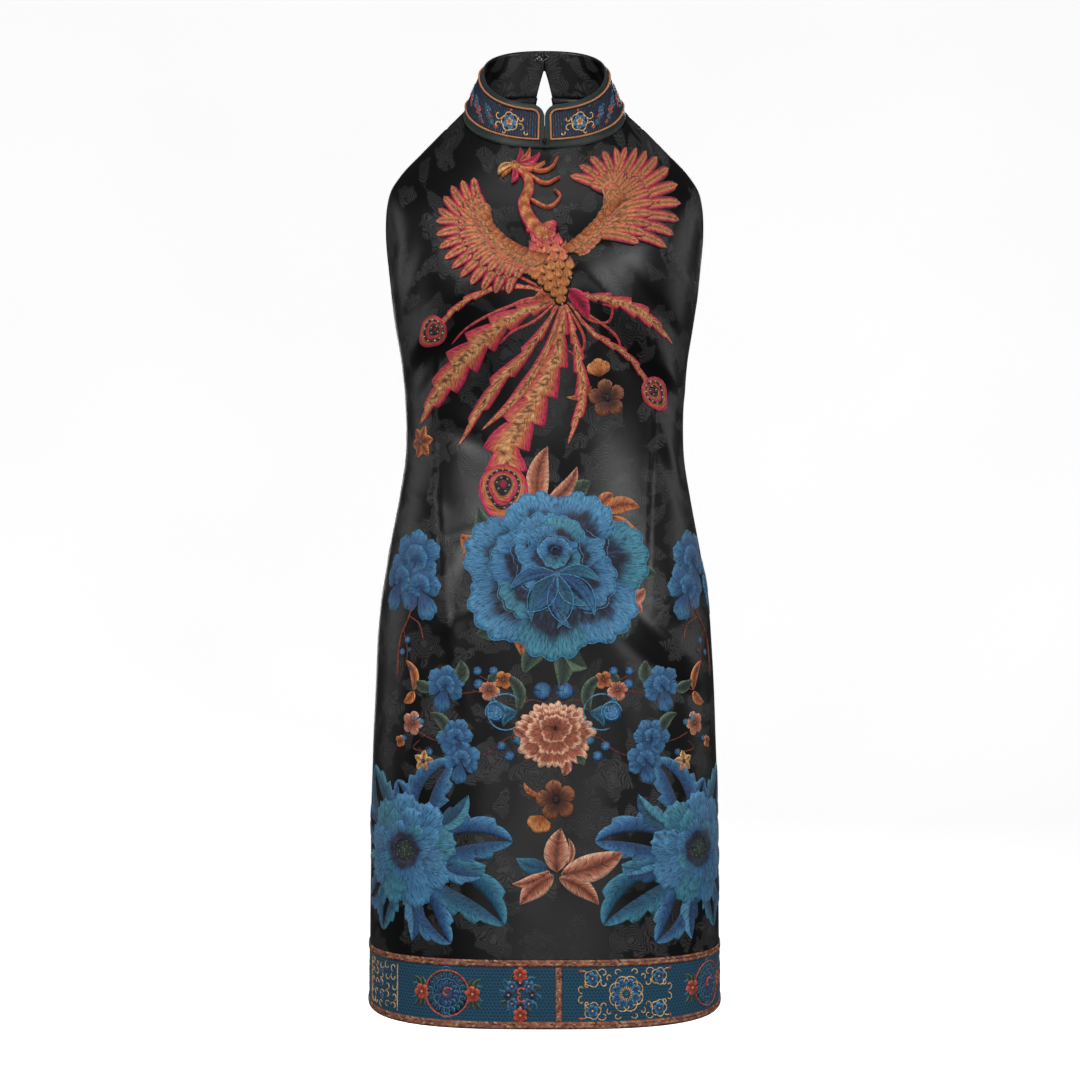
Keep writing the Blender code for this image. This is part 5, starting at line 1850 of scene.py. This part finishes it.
def woven_star_flower(work, centre, radius):
    """A blue flower with golden outlines and golden rays."""
    for angle in around(8, 0.4):
        spot = centre + toward(angle) * 0.62 * radius
        work.blossom(spot, 0.3 * radius, angle, "blue", 3, "blue", 0.0002, outer_light=0.95)
        rim = arc(spot, 0.42 * radius, angle - 1.9, angle + 1.9, 17)
        work.cord(rim, 0.0005, 0.0002, "gold", light=0.85)
    for angle in around(20):
        way = toward(angle) * radius
        ray = np.array([centre + way * f for f in (0.22, 0.32, 0.44)])
        work.cord(ray, 0.0004, 0.0006, "gold", light=0.9)
    work.round(centre, 0.22 * radius, 0.0005, 0.0004, "sea", light=0.6)


# The scrolls in a quarter of the frame: place as shares of its half size, radius, turn, and hand.
FRAME_SCROLLS = (
    (0.5, 0.84, 0.0052, 0.4, 1), (0.2, 0.86, 0.004, 2.9, -1), (0.96, 0.24, 0.0046, 4.6, 1),
    (0.47, 0.44, 0.0044, 0.9, -1), (0.36, 0.7, 0.0034, 5.2, 1), (0.84, 0.36, 0.0036, 1.8, -1),
)


def woven_frame(work, centre, width, height):
    """Golden scrolls and four small flowers round a great one."""
    half = np.array((0.5 * width, 0.5 * height))
    for sx in (-1, 1):
        for sy in (-1, 1):
            corner = np.array((sx, sy))
            hub = centre + corner * half * (0.73, 0.64)
            work.cord(ring_line(hub, 0.0064, lobes=5, depth=0.24), 0.0005, 0.0002, "gold", light=0.85)
            work.blossom(hub, 0.0058, 0.5, "blue", heart="gold", base=0.0001, outer_light=0.95)
            work.round(centre + corner * half * (0.99, 0.95), 0.0017, 0.0001, 0.0004, "red_gold")
            tail = bent(hub + corner * 0.0055, centre + corner * half * (0.97, 0.92), 0.2 * sx * sy, 8)
            work.cord(tail, 0.0005, 0.0001, "gold", light=0.85)
            for x, y, size, turn, hand in FRAME_SCROLLS:
                if sx < 0:
                    turn, hand = pi - turn, -hand
                if sy < 0:
                    turn, hand = -turn, -hand
                scroll(work, centre + corner * half * (x, y), size, turn, hand, thick=0.0005)
    woven_star_flower(work, centre, 0.016)


def woven_posy(work, centre):
    """Red flowers over and under a deep blue wreath."""
    for i, angle in enumerate(around(12, pi / 12.0)):
        way = toward(angle) * (0.02, 0.021)
        threads = "sea" if i % 3 else "green"
        work.leaf(centre + way * 0.45, centre + way * 1.05, 0.006, 0.25, threads, base=0.0001)
    for i, angle in enumerate(around(8)):
        work.blossom(centre + toward(angle) * 0.0112, 0.0056, angle, "blue" if i % 2 else "ink", heart="gold",
                     base=0.0003, outer_light=0.95)
    for up in (-1, 1):
        work.blossom(centre + (0.0, 0.0185 * up), 0.007, 0.5 * up, "red_gold", petals=6, heart="gold",
                     base=0.0006, scallop=0.1)
        scroll(work, centre + (0.0, 0.0026 * up), 0.0048, 0.4 * up, up, "red_gold", 0.001, base=0.0006)


def woven_scrolls(work, centre, half_width):
    """A panel of golden scrolls between two upright lines."""
    for column, x in enumerate(np.linspace(-0.8, 0.8, 5) * half_width):
        for row, y in enumerate(np.linspace(-0.0185, 0.0185, 5)):
            hand = 1 if (row + column) % 2 else -1
            scroll(work, centre + (x, y), 0.0046, 1.9 * row + 2.3 * column, hand, thick=0.0005)
    for side in (-1, 1):
        edge = np.array([centre + (side * half_width, up) for up in np.linspace(-0.0225, 0.0225, 30)])
        work.cord(edge, 0.0006, 0.0001, "gold", light=0.7)
    for up in (-1, 0, 1):
        work.blossom(centre + (0.0, 0.012 * up), 0.0036, 0.4, "blue", heart="red_gold", base=0.0002)


# What the hem border shows at each place across it, in metres from the dress's middle line.
BORDER_MIDDLE = 0.0315
FRONT_ORNAMENTS = (
    ("scrolls", -0.17), ("medallion", -0.093), ("posy", -0.023), ("frame", 0.077),
    ("medallion", 0.171), ("posy", 0.236), ("posy", -0.24),
)
BACK_ORNAMENTS = (
    ("medallion", -0.196), ("posy", -0.126), ("frame", -0.056), ("medallion", 0.032),
    ("posy", 0.1), ("frame", 0.17), ("posy", 0.24),
)


def weave_border(name, cloth, ornaments, seed, finish):
    work = Needlework(cloth, seed)
    for kind, across in ornaments:
        centre = np.array((across, BORDER_MIDDLE))
        if kind == "medallion":
            woven_medallion(work, centre, 0.0212)
        elif kind == "posy":
            woven_posy(work, centre)
        elif kind == "frame":
            woven_frame(work, centre, 0.088, 0.046)
        else:
            woven_scrolls(work, centre, 0.024)
    work.finished(name, "copper_silk", finish)


# The scrolls round the collar's flower: place from its heart, radius, turn, and hand.
COLLAR_SCROLLS = (
    (0.015, 0.004, 0.0058, 3.4, 1), (0.0135, -0.0065, 0.0044, 2.6, -1),
    (-0.013, -0.005, 0.0062, 0.3, 1), (-0.0135, 0.005, 0.0042, 0.4, -1),
    (-0.02, -0.0095, 0.003, 0.6, -1), (0.005, -0.0115, 0.0034, 1.6, 1),
)


# The blooms along the collar: distance round, height, radius and thread.
COLLAR_BLOOMS = (
    (0.07, 0.0265, 0.0046, "blue"), (0.06, 0.018, 0.003, "sea"), (0.086, 0.0215, 0.004, "red_gold"),
    (0.098, 0.025, 0.0048, "blue"), (0.079, 0.0175, 0.0028, "sea"), (0.113, 0.0215, 0.004, "red_gold"),
    (0.129, 0.0245, 0.0048, "blue"), (0.145, 0.0215, 0.004, "red_gold"),
    (0.16, 0.025, 0.0046, "blue"), (0.173, 0.0205, 0.0036, "red_gold"),
)


def stitch_collar(side, field, finish):
    """Golden scrolls round a small flower on the collar's inset, then a row of blooms."""
    work = Needlework(field, 30 + side)
    heart = np.array((0.0385, 0.0238))
    base = 0.001
    work.cord(ring_line(heart, 0.0082, lobes=5, depth=0.2), 0.0006, base, "gold", light=0.85)
    work.blossom(heart, 0.0078, 0.6, "blue", heart="gold", base=base, outer_light=0.95)
    work.blossom(heart, 0.0042, 0.2, "gold", heart="red_gold", base=base + 0.0005)
    work.round(heart + (0.0, 0.0122), 0.0016, base, 0.0004, "red_gold")
    for x, y, size, turn, hand in COLLAR_SCROLLS:
        scroll(work, heart + (x, y), size, turn, hand, thick=0.0006, base=base)
    for distance, height, radius, threads in COLLAR_BLOOMS:
        spot = np.array((distance, height))
        work.blossom(spot, radius, 3.0 * distance, threads, heart="gold", base=base)
        work.leaf(spot + (0.003, 0.001), spot + (0.01, 0.003), 0.003, 0.2, "sea", base=base)
        work.leaf(spot - (0.003, 0.001), spot - (0.01, 0.003), 0.0026, 0.2, "red_gold", base=base)
    work.finished("collar_needlework_" + ("left" if side > 0 else "right"), "copper_silk", finish)


def make_stage():
    """A pale round floor that sweeps up into a wall all round."""
    floor_z, wall, bend, top = -1.38, 4.2, 1.2, 4.5
    profile = [(wall - bend + bend * sin(angle), floor_z + bend * (1.0 - cos(angle)))
               for angle in np.linspace(0.0, 0.5 * pi, 12)]
    made = spun(((0.0, floor_z), *profile, (wall, top)), 96, 0.0001)
    bmesh.ops.reverse_faces(made, faces=made.faces)
    floor = placed("studio_floor", mesh_of("studio_floor", made, studio_paper()))
    floor.visible_diffuse = False
    floor.visible_glossy = False


LIGHTS = (
    ("key", (-1.6, -2.3, 0.9), 1.1, 46.0),
    ("fill", (1.8, -2.1, 0.5), 1.1, 33.0),
    ("low", (0.2, -2.8, -1.0), 0.9, 8.0),
    ("top", (0.0, -0.6, 1.8), 1.0, 6.0),
    ("left_side", (-2.5, 0.5, 0.1), 1.4, 8.0),
    ("right_side", (2.5, 0.5, 0.1), 1.4, 8.0),
    ("behind", (0.7, 2.7, 0.8), 1.0, 28.0),
    ("low_behind", (-0.6, 2.8, -0.4), 0.9, 16.0),
)


def make_light():
    """Soft boxes round the dress, and a faint even light."""
    aim = Vector((0.0, 0.0, -0.4))
    for name, place, size, power in LIGHTS:
        lamp = bpy.data.lights.new(name, "AREA")
        lamp.shape = "SQUARE"
        lamp.size = size
        lamp.energy = power
        thing = placed(name, lamp)
        thing.location = place
        thing.rotation_mode = "QUATERNION"
        thing.rotation_quaternion = (aim - Vector(place)).to_track_quat("-Z", "Y")
        thing.visible_camera = False
    world = bpy.data.worlds.new("studio")
    world.use_nodes = True
    sky = world.node_tree.nodes["Background"]
    sky.inputs[0].default_value = (1.0, 1.0, 1.0, 1.0)
    sky.inputs[1].default_value = 0.05
    bpy.context.scene.world = world
    bpy.context.scene.view_settings.view_transform = "Standard"


def make_camera():
    camera = bpy.data.cameras.new("camera")
    camera.sensor_width = SENSOR
    camera.lens = SENSOR * -CAMERA_PLACE[1] / (PHOTO_SIDE * PIXEL)
    thing = placed("camera", camera)
    thing.location = CAMERA_PLACE
    thing.rotation_euler = (radians(90.0), 0.0, 0.0)
    bpy.context.scene.camera = thing


# The stretch of the skirt that wraps its sides: its lowest and highest place, rows and half columns.
WRAPPED = (-0.815, -0.225, 230, 170)


def make_needlework(front, back):
    """The bird, the flowers, and the figures of the collar and the border."""
    copper_silk = silk("copper_silk", 0.4, 0.15)
    wrap = wrapped_cloth(front, back, *WRAPPED)
    blue, copper, green = (Needlework(wrap, seed) for seed in (11, 12, 13))
    stitch_blooms(front, wrap, blue, copper, green)
    blue.finished("blue_needlework", "blue_silk", silk("blue_silk", 0.44))
    copper.finished("copper_needlework", "copper_silk", copper_silk)
    green.finished("green_needlework", "green_silk", silk("green_silk", 0.5))
    bird, beads = Needlework(front, 21), []
    stitch_bird(bird, beads, front)
    bird.finished("bird_needlework", "copper_silk", copper_silk)
    # Painted glints: a third of the beads are coloured pale grey all over, in place of the sparkle that light
    # gives the black beads.
    pale_glint_beads = beads[::3]
    black = [bead for bead in beads if bead not in pale_glint_beads]
    sew_beads("black_beads", front, black, polished("black_glass", srgb(6, 6, 8), 0.08))
    sew_beads("painted_glint_beads", front, pale_glint_beads, polished("painted_glint_glass", srgb(214, 214, 218), 0.1))
    for facing, face, ornaments in ((-1, "front", FRONT_ORNAMENTS), (1, "back", BACK_ORNAMENTS)):
        band = border_cloth(facing, 0.0, 1.0, BORDER_ROWS, BORDER_COLUMNS)
        weave_border("border_figures_" + face, band, ornaments, 40 + facing, copper_silk)
    for side, turn in ((1, np.array), (-1, mirrored)):
        stitch_collar(side, collar_field(turn), copper_silk)


def main():
    make_camera()
    make_light()
    make_stage()
    satin = black_satin()
    front = front_cloth(PANEL_ROWS, HALF_PANEL_COLUMNS)
    back = back_cloth(BACK_PANEL_ROWS, BACK_PANEL_COLUMNS)
    make_panels(front, back, satin)
    make_bindings(front, back, satin)
    make_collar(teal_satin(), satin, ribbed_brocade(),
                twisted_thread("copper_cord", srgb(150, 84, 56), srgb(238, 172, 124)))
    make_border(border_brocade(), braid_finish())
    make_fastening(polished("black_horn", srgb(10, 10, 10), 0.16))
    make_front_knot(satin)
    make_needlework(front, back)


main()
